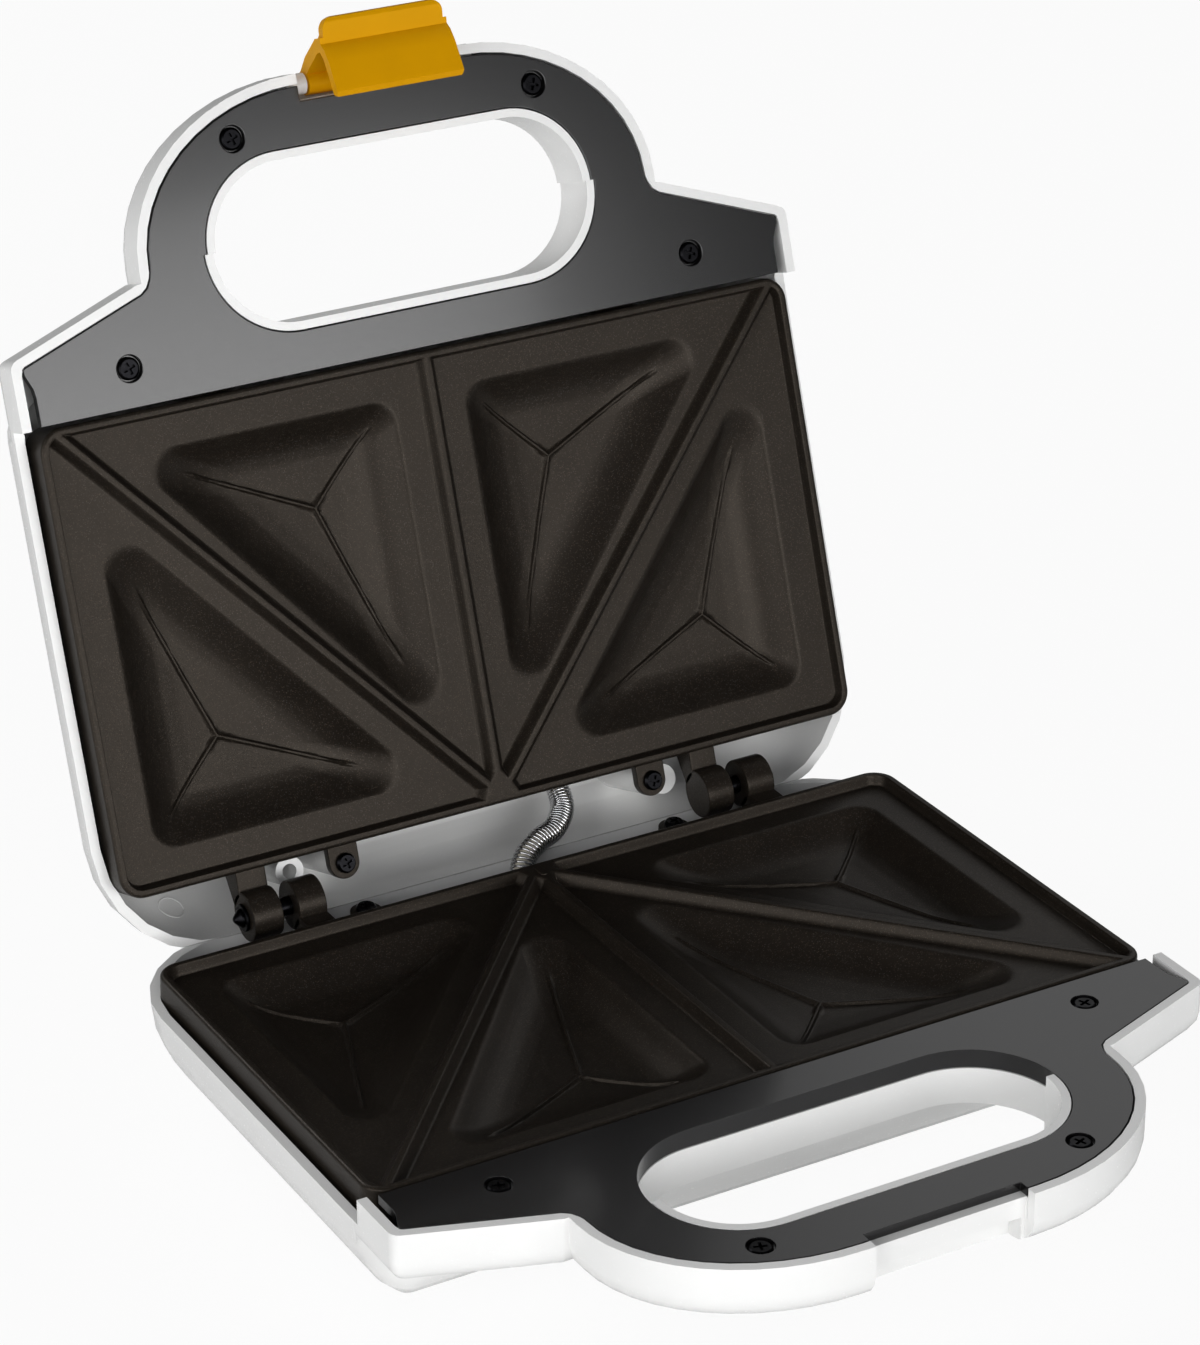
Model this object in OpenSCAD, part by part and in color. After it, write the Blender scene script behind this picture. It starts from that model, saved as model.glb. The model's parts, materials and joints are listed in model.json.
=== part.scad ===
// Sandwich toaster: two hinged halves. Each half has a moulded casing with a loop handle, a cast
// non-stick plate with four triangular pockets, a black handle cover and its heating parts.
// Both halves are drawn in the half's own frame: x across, y back from the plate's back edge,
// z = 0 on the plate's rim and the casing below it. The lid is that frame mirrored and swung open.
// The part's origin is on the floor, under the middle of the open toaster. Millimetres, +Z up.

/* [Cast plates] */
// Width of a plate across both sandwiches
plate_w = 220; // [200:1:240]
// Depth of a plate, front to back
plate_d = 122.5; // [115:0.5:135]
// Corner radius of a plate
plate_corner_r = 6.5; // [4:0.5:10]
// Width of the sealing rim
rim_w = 2.4; // [1.8:0.1:3]
// Drop from the rim to the flat land
land_drop = 3; // [2:0.1:4]
// Depth of a pocket's floor below the rim
pocket_depth = 10.2; // [8:0.1:10.4]
// Height of the plate's outer wall
plate_wall_h = 12.5; // [11:0.5:15]
// Wall thickness of the casting
casting_t = 2.6; // [2:0.1:3.5]
// Flat top of a ridge
ridge_top_w = 1.6; // [1:0.1:3]
// Foot of a ridge, slopes included
ridge_base_w = 5.2; // [4:0.1:8]
// Corner radius of a pocket
pocket_corner_r = 6.5; // [4:0.5:9]
// Land between the middle of the plate and a middle pocket
centre_land = 10.7; // [9:0.1:14]
// Land in front of the middle pockets
front_land = 11.3; // [9:0.1:14]
// Land behind the side pockets
back_land = 10.6; // [9:0.1:14]
// Land beside the side pockets
side_land = 12.5; // [10:0.1:15]
// Height of a pocket's Y rib above its floor
rib_h = 0.7; // [0.4:0.1:1.5]
// Width of a Y rib at its foot
rib_w = 2.2; // [1.4:0.1:3]

/* [Casings] */
// Depth of the casing below the rim
shell_depth = 36; // [32:1:44]
// Wall thickness of the casings
shell_t = 2.6; // [2:0.1:3.4]
// Casing width beyond the plate on each side
shell_side = 3.9; // [3.4:0.1:6]
// Casing beyond the plate's back edge
shell_back = 19.5; // [18:0.5:22]
// Height of the plate's wall that stands proud of the casing
plate_proud = 6.7; // [5:0.1:8]
// Depth of the handle
handle_depth = 15; // [13:0.5:18]
// Rounding of the handle's outer edge
handle_edge_r = 7; // [5:0.5:8]

/* [Loop handle] */
// Front edge of the handle cover, ahead of the plate's front edge
cover_reach = 73.8; // [70:0.2:78]
// Half width of the handle cover
cover_half_w = 72.6; // [68:0.2:76]
// Width of the handle cover beside the handle hole
cover_arm_w = 16.3; // [15:0.1:20]
// Width of the handle hole, front to back
hole_d = 45.9; // [40:0.1:48]
// Middle of the handle hole, ahead of the plate's front edge
hole_ahead = 35.35; // [34:0.05:37]
// Thickness of a handle cover
cover_t = 2.4; // [2:0.1:3]
// Height of the black skirt in the base's handle hole
skirt_h = 4.9; // [3:0.1:10]
// White casing rim that shows inside the handle hole
hole_rim = 2.5; // [2:0.1:3]

/* [Hinge] */
// Hinge axis behind the plate's back edge
hinge_y = 11.5; // [11:0.1:12.5]
// Opening angle of the lid, as it leans on its stop
lid_open = 108.1; // [95:0.1:112]
// Gap between the closed plates
rim_gap = 0.4; // [0.2:0.1:1.2]
// Outer radius of a hinge knuckle
knuckle_r = 6.6; // [6:0.1:7]
// Radius of a hinge pin
pin_r = 2.5; // [2:0.1:3]
// Middle of the outer knuckle, in from the plate's side
outer_knuckle_in = 35.7; // [33:0.1:38]
// Width of an outer knuckle
outer_knuckle_w = 8.4; // [7:0.1:9]
// Middle of the inner knuckle, in from the plate's side
inner_knuckle_in = 48.3; // [47:0.1:50]
// Width of an inner knuckle
inner_knuckle_w = 8; // [7:0.1:9]

/* [Latch] */
// Width of the latch clip
latch_w = 36.6; // [30:0.2:40]
// Latch pin's height below the rim
latch_z = 7; // [6:0.1:8]
// Radius of the latch pin
latch_pin_r = 1.5; // [1.2:0.1:2]
// Half width of the lid's latch pocket
latch_pocket_x = 23.4; // [21:0.1:26]
// Half width of the base's latch notch
latch_notch_x = 21.6; // [20:0.1:25]

/* [Screws and feet] */
// Head radius of a handle cover screw
cover_head_r = 3; // [2.5:0.1:3.4]
// Shank radius of a handle cover screw
cover_shank_r = 1.5; // [1.2:0.1:1.8]
// Head radius of a plate screw
plate_head_r = 2.7; // [2.3:0.1:3]
// Distance of a plate screw in from the plate's side
lug_in = 63.4; // [60:0.1:66]
// Plate screw behind the plate's back edge
lug_y = 5.2; // [5:0.1:6]
// Radius of a rubber foot
foot_r = 7.5; // [6:0.5:9]
// Height of a rubber foot below the casing
foot_h = 4; // [3:0.5:6]
// Distance of a foot in from the plate's side
foot_in = 32; // [28:1:50]

/* [Heating and wiring] */
// Radius of the heating element's tube
element_r = 3.2; // [2.8:0.1:3.4]
// Thickness of the reflector sheet
shield_t = 0.8; // [0.6:0.1:1.2]
// Outer radius of the spring that sheathes the link lead
sheath_r = 3.3; // [3:0.1:3.5]
// Wire thickness of that spring
sheath_wire = 0.7; // [0.6:0.05:0.8]
// Pitch of that spring's turns
sheath_pitch = 1.75; // [1.7:0.05:2.2]
// Outer radius of the link lead
lead_r = 2.1; // [1.8:0.1:2.2]
// Bore radius of the mains cord gland
gland_bore_r = 3.3; // [3:0.1:3.8]
// Length of the mains cord gland
gland_len = 14; // [12:0.5:16]

/* [Hidden] */
$fn = 48;

fit = 0.3;              // gap between a cover and the casing round it
run_fit = 0.05;         // radial clearance of a pin in its bore
eps = 0.01;

// ---- places that follow from the sizes above ----
half_w = plate_w / 2;
shell_x = half_w + shell_side;
cover_front = plate_d + cover_reach;
hole_half_w = cover_half_w - cover_arm_w;
hole_y = plate_d + hole_ahead;
outer_knuckle_x = half_w - outer_knuckle_in;
inner_knuckle_x = half_w - inner_knuckle_in;
lug_x = half_w - lug_in;
foot_x = half_w - foot_in;
cover_arc_x = cover_half_w - 48.6;          // middle of the handle's end arcs
cover_arc_a = cover_half_w - cover_arc_x;
cover_arc_y = hole_y - 0.85;
cover_arc_b = cover_front - cover_arc_y;
handle_front = cover_front + shell_t + 0.2;
shoulder_x = cover_half_w + 3.9;            // where the shoulder meets the handle
shoulder_y = plate_d + 31.3;
corner_y = plate_d + 17.9;
cover_back = plate_d + 0.8;
cover_side = half_w - 1.1;
hole_r = hole_d / 2;
hole_arc_x = hole_half_w - hole_r;
collar_r = hole_r - hole_rim;
latch_y = handle_front - 2.9;
rim_z = shell_depth + foot_h;
hinge_z = rim_gap / 2;
edge_centre_y = hinge_y + handle_front - handle_edge_r;
edge_centre_z = hinge_z + handle_depth - handle_edge_r;
rear_reach = hinge_y - edge_centre_y * cos(lid_open) + edge_centre_z * sin(lid_open)
             + handle_edge_r;
centre_y = (rear_reach - handle_front) / 2;
screw_spots = [[half_w - 27.4, plate_d + 10.9], [cover_half_w - 28.7, cover_front - 10.7]];
lug_top = 3.4;
lug_t = 3;
lug_r = 4.3;
stop_slack = 0.9;       // half the angle left between the casings at the open stop
element_z = land_drop + casting_t + element_r + 0.1;
element_x = half_w - casting_t - element_r - 0.4;
element_y0 = casting_t + element_r + 0.6;
element_y1 = plate_d - casting_t - element_r - 0.4;
element_leg_x = 15;
element_bend = 12;
shield_z = plate_wall_h + 0.8;
shield_spots = [36, 100];
cover_under = cover_t + 0.2;
floor_z = shell_depth - shell_t;
element_leg_end = floor_z - 11.4;
gland_x = -38;
gland_z = shell_depth - 9;
gland_y = 12;
clamp_y = 18;
clamp_z = gland_z - gland_bore_r;         // underside of the clamp, on top of the cord
clamp_screw_x = 9;
block_x = 23;
block_y = 23;
block_w = 24;
block_d = 12;
lens_spots = [-14, 14];
lens_y = 84;
lens_stem_r = 3.5;
board_screw_x = 26;
tongue_drop = 5.8;
tongue_t = 2.6;
ledge_front = handle_front - 3.5;       // the ledge's front face
ledge_back = handle_front - 8.5;        // back of the pocket under the ledge
ledge_under = 8;
latch_pocket_y = handle_front - 6.8;
front_foot = [foot_x - 12, plate_d - 34.5];
foot_spots = [[-foot_x, 0], [foot_x, 0], [-front_foot[0], front_foot[1]], front_foot];
link_foot = [-1.2, 1, -21];             // lower end of the link lead, in the base's frame
link_head = [25, -3.8, -19];            // its upper end, in the lid's own frame
foot_stem_r = 2.2;

// ---- frames ----
module base_frame() {
    translate([0, -centre_y, rim_z]) children();
}
module lid_frame() {
    translate([0, hinge_y - centre_y, rim_z + hinge_z]) rotate([-lid_open, 0, 0])
        translate([0, -hinge_y, hinge_z]) mirror([0, 0, 1]) children();
}

// ---- convex outlines and lofts ----
function unit(v) = v / norm(v);
// Crossing of two lines given by their unit normals and distances
function crossing(n1, c1, n2, c2) =
    let (det = n1[0] * n2[1] - n1[1] * n2[0])
    [(c1 * n2[1] - c2 * n1[1]) / det, (n1[0] * c2 - n2[0] * c1) / det];
// A counter-clockwise convex outline drawn in by inset, each corner rounded
function round_outline(corners, radii, inset, steps = 6) =
    let (n = len(corners),
         dirs = [for (i = [0 : n - 1]) unit(corners[(i + 1) % n] - corners[i])],
         norms = [for (d = dirs) [-d[1], d[0]]])
    [for (i = [0 : n - 1])
        let (n1 = norms[(i + n - 1) % n], n2 = norms[i],
             r = max(radii[i] - inset, min(radii[i], 2.5)),
             c = crossing(n1, n1 * corners[i] + inset + r, n2, n2 * corners[i] + inset + r),
             a1 = atan2(-n1[1], -n1[0]),
             turn = (atan2(-n2[1], -n2[0]) - a1 + 720) % 360)
        for (k = [0 : steps]) c + r * [cos(a1 + turn * k / steps), sin(a1 + turn * k / steps)]];
function at_z(outline, z) = [for (p = outline) [p[0], p[1], z]];
// A closed solid through rings of equal length, lowest ring first
module loft(rings) {
    m = len(rings[0]);
    last = len(rings) - 1;
    side = [for (k = [0 : last - 1]) for (i = [0 : m - 1])
        let (a = k * m, b = a + m, j = (i + 1) % m)
        each [[a + i, b + i, b + j], [a + i, b + j, a + j]]];
    polyhedron(points = [for (r = rings) each r],
               faces = concat([[for (i = [0 : m - 1]) i]], side,
                              [[for (i = [m - 1 : -1 : 0]) last * m + i]]),
               convexity = 6);
}

// ---- casing forms ----
body_corners = [[shell_x, -plate_d - 11], [shell_x, shell_back], [-shell_x, shell_back],
                [-shell_x, -plate_d - 11]];
body_radii = [14, 33, 33, 14];
// The dome of the casing: share of the depth, and how far it draws in there
dome = [[1, 40], [0.985, 30], [0.93, 19], [0.83, 11], [0.7, 6], [0.55, 2.8], [0.4, 0.9],
        [0.2, 0], [0, 0]];
function body_rings(inset, depth) =
    [for (s = dome) at_z(round_outline(body_corners, body_radii, inset + s[1] * depth /
                                       shell_depth), -depth * s[0])];
deck_corners = [[shoulder_x, -shoulder_y], [shell_x, -corner_y], [shell_x, -plate_d + 5],
                [-shell_x, -plate_d + 5], [-shell_x, -corner_y], [-shoulder_x, -shoulder_y]];
deck_radii = [3, 3, 3, 3, 3, 3];
// Quarter round between a flat underside and an upright side
function edge_steps(depth, r) =
    concat([for (a = [90 : -22.5 : 0]) [r * (1 - cos(a)), -depth + r - r * sin(a)]], [[0, 0]]);
function deck_rings(inset, depth, r) =
    [for (s = edge_steps(depth, r)) at_z(round_outline(deck_corners, deck_radii,
                                                       inset + s[0], 3), s[1])];
// The handle's outline: an ellipse arc at each end and a straight back inside the casing
function handle_outline(grow) =
    let (a = cover_arc_a + grow, b = cover_arc_b + grow)
    concat([for (t = [90 : -7.5 : 0]) [cover_arc_x + a * cos(t), -cover_arc_y - b * sin(t)]],
           [[cover_arc_x + a, -plate_d - 9], [-cover_arc_x - a, -plate_d - 9]],
           [for (t = [0 : 7.5 : 90]) [-cover_arc_x - a * cos(t), -cover_arc_y - b * sin(t)]]);
function handle_rings(inset, depth, r) =
    [for (s = edge_steps(depth, r)) at_z(handle_outline(shell_t + 0.2 - inset - s[0]), s[1])];

module slot_2d(r) {
    translate([-hole_arc_x, -hole_y]) circle(r);
    translate([hole_arc_x, -hole_y]) circle(r);
    translate([-hole_arc_x, -hole_y - r]) square([2 * hole_arc_x, 2 * r]);
}
module front_half_2d() {
    translate([-half_w, -hole_y - hole_d]) square([plate_w, hole_d]);
}
// Collar round the handle hole: front_r is its bore ahead of the hole's middle
module collar_2d(front_r, back_r, wall) {
    difference() {
        union() {
            intersection() { slot_2d(front_r + wall); front_half_2d(); }
            difference() { slot_2d(back_r + wall); front_half_2d(); }
        }
        intersection() { slot_2d(front_r); front_half_2d(); }
        difference() { slot_2d(back_r); front_half_2d(); }
    }
}
module hole_cut_2d(front_r, back_r) {
    intersection() { slot_2d(front_r); front_half_2d(); }
    difference() { slot_2d(back_r); front_half_2d(); }
}

// Outline of a handle cover, grown by g, with its latch notch cut to notch_y
function cover_right(g, notch_x, notch_y) =
    concat([[notch_x, -cover_front - g]],
           [for (t = [90 : -7.5 : 0]) [cover_arc_x + (cover_arc_a + g) * cos(t),
                                       -cover_arc_y - (cover_arc_b + g) * sin(t)]],
           [[cover_half_w + 0.6 + g, -shoulder_y - 1 - g * 0.3],
            [cover_half_w + 1.7 + g, -shoulder_y + 1.1 - g],
            [shoulder_x - 0.4 + g * 0.5, -shoulder_y + 2.5 - g],
            [half_w + 0.3 + g, -corner_y + 1.3 - g],
            [half_w + 1 + g, -corner_y + 1.9 - g * 0.4],
            [half_w + 0.9 + g, -corner_y + 3.6],
            [half_w - 0.7 + g, -corner_y + 7.2],
            [cover_side + g, -corner_y + 9.6],
            [cover_side + g, -cover_back]]);
function cover_outline(g, notch_x, notch_y) =
    let (right = cover_right(g, notch_x, notch_y), n = len(right))
    concat([[-notch_x, -notch_y], [notch_x, -notch_y]], right,
           [for (i = [n - 1 : -1 : 0]) [-right[i][0], right[i][1]]]);

module mirror_pair() {
    children();
    mirror([1, 0, 0]) children();
}
module at_screws(z) {
    mirror_pair() for (s = screw_spots) translate([s[0], -s[1], z]) children();
}
module x_cylinder(x0, x1, r) {
    translate([x0, 0, 0]) rotate([0, 90, 0]) cylinder(h = x1 - x0, r = r);
}

// Everything inside the casing's outer surface
module casing_outside() {
    loft(body_rings(0, shell_depth));
    loft(deck_rings(0, handle_depth, handle_edge_r));
    loft(handle_rings(0, handle_depth, handle_edge_r));
}
module casing_cavity() {
    translate([0, 0, eps]) {
        loft(body_rings(shell_t, floor_z));
        loft(deck_rings(shell_t, handle_depth - shell_t, handle_edge_r - shell_t));
        loft(handle_rings(shell_t, handle_depth - shell_t, handle_edge_r - shell_t));
    }
}
// A round post that stands on the casing's floor
module post(x, y, r, top) {
    translate([x, y, -floor_z - 1]) cylinder(h = floor_z + 1 - top, r = r);
}

// One casing: outer form, cavity, cover recess, collar, bosses and the hinge gap
module casing(notch_x, notch_y, notch_floor, back_r, back_top) {
    difference() {
        union() {
            difference() {
                casing_outside();
                casing_cavity();
            }
            translate([0, 0, -handle_depth]) linear_extrude(handle_depth - back_top)
                collar_2d(collar_r, back_r, 2.2);
            translate([0, 0, -handle_depth]) linear_extrude(handle_depth) intersection() {
                collar_2d(collar_r, back_r, 2.2);
                front_half_2d();
            }
            intersection() {
                casing_outside();
                union() {
                    // screw bosses of the handle cover
                    at_screws(-handle_depth + 0.6)
                        cylinder(h = handle_depth - 0.6 - cover_under, r = 3.6);
                    // plate bosses at the back and posts under the plate's front tongues
                    mirror_pair() {
                        post(lug_x, lug_y, 4.1, lug_top + lug_t);
                        post(60, -plate_d - 3, 3, tongue_drop + tongue_t + 0.2);
                    }
                    children();
                }
            }
        }
        // room round the plate: the casing's top edge stands below the rim there
        translate([-shell_x - 1, -plate_d - fit, -plate_proud])
            cube([2 * shell_x + 2, plate_d + shell_back + 20, plate_proud + 1]);
        translate([0, 0, -plate_wall_h - 0.2]) linear_extrude(plate_wall_h + 2)
            plate_2d(-0.2);
        // room for the handle cover at the shoulders
        translate([0, 0, -cover_under]) linear_extrude(cover_under + 1) intersection() {
            polygon(cover_outline(0, notch_x, notch_y));
            mirror_pair() translate([60, -plate_d - 45]) square([60, 44]);
        }
        // the casings' back edges meet along this slope when the lid leans on its stop
        translate([-shell_x - 1, hinge_y, hinge_z])
            rotate([-lid_open / 2 - stop_slack, 0, 0]) cube([2 * shell_x + 2, 60, 60]);
        // hinge gaps
        mirror_pair() translate([0, hinge_y, hinge_z])
            x_cylinder(inner_knuckle_x - inner_knuckle_w / 2 - 1.5,
                       outer_knuckle_x + outer_knuckle_w / 2 + 4.5, knuckle_r + 1.2);
        // hole of the handle, and the holes for the screws
        translate([0, 0, -shell_depth - 1]) linear_extrude(shell_depth + 2)
            hole_cut_2d(collar_r, back_r);
        at_screws(-handle_depth + 2.6) cylinder(h = handle_depth, r = cover_shank_r + run_fit);
        mirror_pair() translate([lug_x, lug_y, -lug_top - lug_t - 12])
            cylinder(h = 20, r = cover_shank_r + run_fit);
        // notch for the latch
        translate([-notch_x, -handle_front - 1, -notch_floor])
            cube([2 * notch_x, handle_front + 1 - notch_y, notch_floor + 1]);
    }
}

module lower_shell() {
    color("white") base_frame() difference() {
        union() {
            casing(latch_notch_x, ledge_front, shell_depth, hole_r, skirt_h + fit) {
                // block behind the ledge that the latch hooks under
                translate([-latch_notch_x - 2, -cover_front, -handle_depth])
                    cube([2 * latch_notch_x + 4, cover_front - ledge_back + 2,
                          handle_depth - cover_under]);
                // cord clamp posts, terminal block seat and the link lead's post
                for (s = [-1, 1]) post(gland_x + s * clamp_screw_x, -clamp_y, 3, clamp_z);
                translate([gland_x - 4, -clamp_y - 3, -floor_z - 1])
                    cube([8, 6, floor_z + 1 - gland_z - gland_bore_r]);
                translate([block_x - 1, -block_y - 1, -floor_z - 1])
                    cube([block_w + 2, block_d + 2, 3.2]);
                post(link_foot[0], link_foot[1], 4, -link_foot[2] + 1.8);
            }
            // bosses of the cord gland and of the feet
            translate([gland_x, gland_y, -gland_z]) rotate([90, 0, 0])
                cylinder(h = gland_len + 4, r = gland_bore_r + 4.2);
            for (p = foot_spots) translate([p[0], -p[1], -shell_depth])
                cylinder(h = 8, r = foot_r + 1);
        }
        // pocket under the ledge
        translate([-latch_notch_x + 1, -handle_front - 1, -handle_depth - 1])
            cube([2 * latch_notch_x - 2, handle_front + 1 - ledge_back,
                  handle_depth + 1 - ledge_under]);
        // gland bore, clamp screws and foot stems
        translate([gland_x, gland_y + 1, -gland_z]) rotate([90, 0, 0])
            cylinder(h = gland_len + 6, r = gland_bore_r + 2 + run_fit);
        translate([gland_x, gland_y, -gland_z]) rotate([-90, 0, 0])
            cylinder(h = 10, r = gland_bore_r + 3.8);
        for (s = [-1, 1]) translate([gland_x + s * clamp_screw_x, -clamp_y, -clamp_z - 7])
            cylinder(h = 8, r = 1.2 + run_fit);
        for (p = foot_spots) translate([p[0], -p[1], -shell_depth - 1])
            cylinder(h = 8, r = foot_stem_r + run_fit);
    }
}

module upper_shell() {
    pocket_floor = latch_z + latch_pin_r + 3.4;
    color("white") lid_frame() difference() {
        union() {
            casing(latch_pocket_x, latch_pocket_y, pocket_floor, hole_r - 1.6, 0) {
                // cheeks that hold the latch pin, and the pocket's back wall
                mirror_pair() translate([latch_pocket_x, -cover_front, -handle_depth + 1])
                    cube([2, 8, handle_depth - 1 - cover_under]);
                translate([-latch_pocket_x - 2, -latch_pocket_y, -handle_depth + 1])
                    cube([2 * latch_pocket_x + 4, 2, handle_depth - 1 - cover_under]);
                // posts of the lamp board, and small posts beside the plate screws
                for (s = [-1, 1]) post(s * board_screw_x, -lens_y, 2.6, floor_z - 8);
                post(lug_x + 6, lug_y + 1.6, 4.1, lug_top + lug_t + 2.5);
                post(-lug_x - 14, lug_y - 0.6, 4, lug_top + lug_t + 1.6);
                post(link_head[0], link_head[1], 4, -link_head[2] + sheath_r + 0.3);
            }
            // round ends of the cheeks, where the latch pin sits
            mirror_pair() translate([0, -latch_y, -latch_z])
                x_cylinder(latch_w / 2 + 0.4, latch_pocket_x + 6, latch_pin_r + 1.3);
        }
        translate([0, -latch_y, -latch_z])
            x_cylinder(-latch_pocket_x - 5, latch_pocket_x + 5, latch_pin_r + run_fit);
        translate([-lug_x - 14, lug_y - 0.6, -lug_top - lug_t - 12]) cylinder(h = 20, r = 2);
        for (x = lens_spots) translate([x, -lens_y, -shell_depth - 1])
            cylinder(h = 8, r = lens_stem_r + run_fit);
    }
}

// ---- handle covers ----
module handle_cover(notch_x, notch_y, back_r) {
    difference() {
        translate([0, 0, -cover_t]) linear_extrude(cover_t)
            polygon(cover_outline(-fit, notch_x, notch_y));
        translate([0, 0, -cover_t - 1]) linear_extrude(cover_t + 2) hole_cut_2d(hole_r, back_r);
        at_screws(-cover_t - 1) cylinder(h = cover_t + 2, r = cover_shank_r + 0.3);
        at_screws(-1.5) cylinder(h = 2, r = cover_head_r + 0.5);
    }
}
module lower_handle_cover() {
    color("#151515") base_frame() {
        handle_cover(latch_notch_x, ledge_front - 2.2, hole_r);
        // skirt that lines the back half of the hole
        translate([0, 0, -skirt_h]) linear_extrude(skirt_h - cover_t / 2) difference() {
            slot_2d(hole_r + 1.8);
            slot_2d(hole_r);
            front_half_2d();
        }
    }
}
module upper_handle_cover() {
    color("#151515") lid_frame() handle_cover(latch_pocket_x, latch_pocket_y - fit, hole_r + 0.9);
}

// ---- cast plates ----
mid_pocket = [[centre_land, -plate_d + front_land],
              [half_w - 23.7, -plate_d + front_land], [centre_land, -19.8]];
side_pocket = [[half_w - side_land, -plate_d + 23], [half_w - side_land, -back_land],
               [20, -back_land]];
// Incentre of a triangle, where its Y ribs meet
function incentre(t) =
    let (a = norm(t[1] - t[2]), b = norm(t[2] - t[0]), c = norm(t[0] - t[1]))
    (a * t[0] + b * t[1] + c * t[2]) / (a + b + c);
function scaled(outline, c, s) = [for (p = outline) c + s * (p - c)];
// Floor of a pocket: share of its outline, and share of its depth below the land
dish = [[0, 1], [0.03, 1], [0.35, 0.97], [0.55, 0.91], [0.68, 0.8], [0.78, 0.63], [0.87, 0.4],
        [0.94, 0.18], [1, 0]];
pocket_fall = pocket_depth - land_drop;
module pocket(t, grow, drop, rise) {
    c = incentre(t);
    outline = round_outline(t, [pocket_corner_r, pocket_corner_r, pocket_corner_r], 0);
    steps = [for (k = [1 : len(dish) - 1]) dish[k]];
    loft(concat([for (s = steps) at_z(scaled(outline, c, s[0] + grow),
                                      -land_drop - drop - pocket_fall * s[1])],
                rise > 0 ? [at_z(scaled(outline, c, 1.02 + grow), -land_drop + rise)] : []));
}
// A rib from the pocket's middle towards one corner, tapering off near it
module rib(t, corner) {
    c = incentre(t);
    outline = round_outline(t, [pocket_corner_r, pocket_corner_r, pocket_corner_r], 0);
    tip = outline[corner * 7 + 3];
    d = unit(tip - c);
    side = [-d[1], d[0]];
    reach = norm(tip - c);
    stations = [0.82, 0.7, 0.55, 0.35, 0.6 / reach];
    loft([for (s = stations)
        let (p = c + d * reach * s, floor_here = -land_drop - pocket_fall * lookup(s, dish),
             w = rib_w / 2 * (1 - 0.5 * s), h = rib_h * (1 - 0.6 * s),
             left = p + side * w, right = p - side * w,
             top_l = p + side * w * 0.4, top_r = p - side * w * 0.4)
        [[right[0], right[1], floor_here - 0.4], [left[0], left[1], floor_here - 0.4],
         [top_l[0], top_l[1], floor_here + h], [top_r[0], top_r[1], floor_here + h]]]);
}
// Low round knob that joins the three ribs in the pocket's middle
module rib_hub(t) {
    c = incentre(t);
    translate([c[0], c[1], -pocket_depth - 0.45])
        cylinder(h = 0.5 + rib_h, r1 = rib_w * 0.66, r2 = rib_w * 0.45);
}
module ridge(from, to) {
    d = to - from;
    translate([from[0], from[1], 0]) rotate([0, 0, atan2(d[1], d[0])]) rotate([90, 0, 90])
        linear_extrude(norm(d))
            polygon([[-ridge_base_w / 2, -land_drop - 0.5], [ridge_base_w / 2, -land_drop - 0.5],
                     [ridge_base_w / 2, -land_drop], [ridge_top_w / 2, 0],
                     [-ridge_top_w / 2, 0], [-ridge_base_w / 2, -land_drop]]);
}
module plate_2d(inset) {
    r = plate_corner_r - inset;
    translate([0, -plate_d / 2]) {
        square([plate_w - 2 * inset, plate_d - 2 * inset - 2 * r], center = true);
        square([plate_w - 2 * inset - 2 * r, plate_d - 2 * inset], center = true);
        for (x = [-1, 1], y = [-1, 1])
            translate([x * (half_w - inset - r), y * (plate_d / 2 - inset - r)]) circle(r);
    }
}
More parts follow.
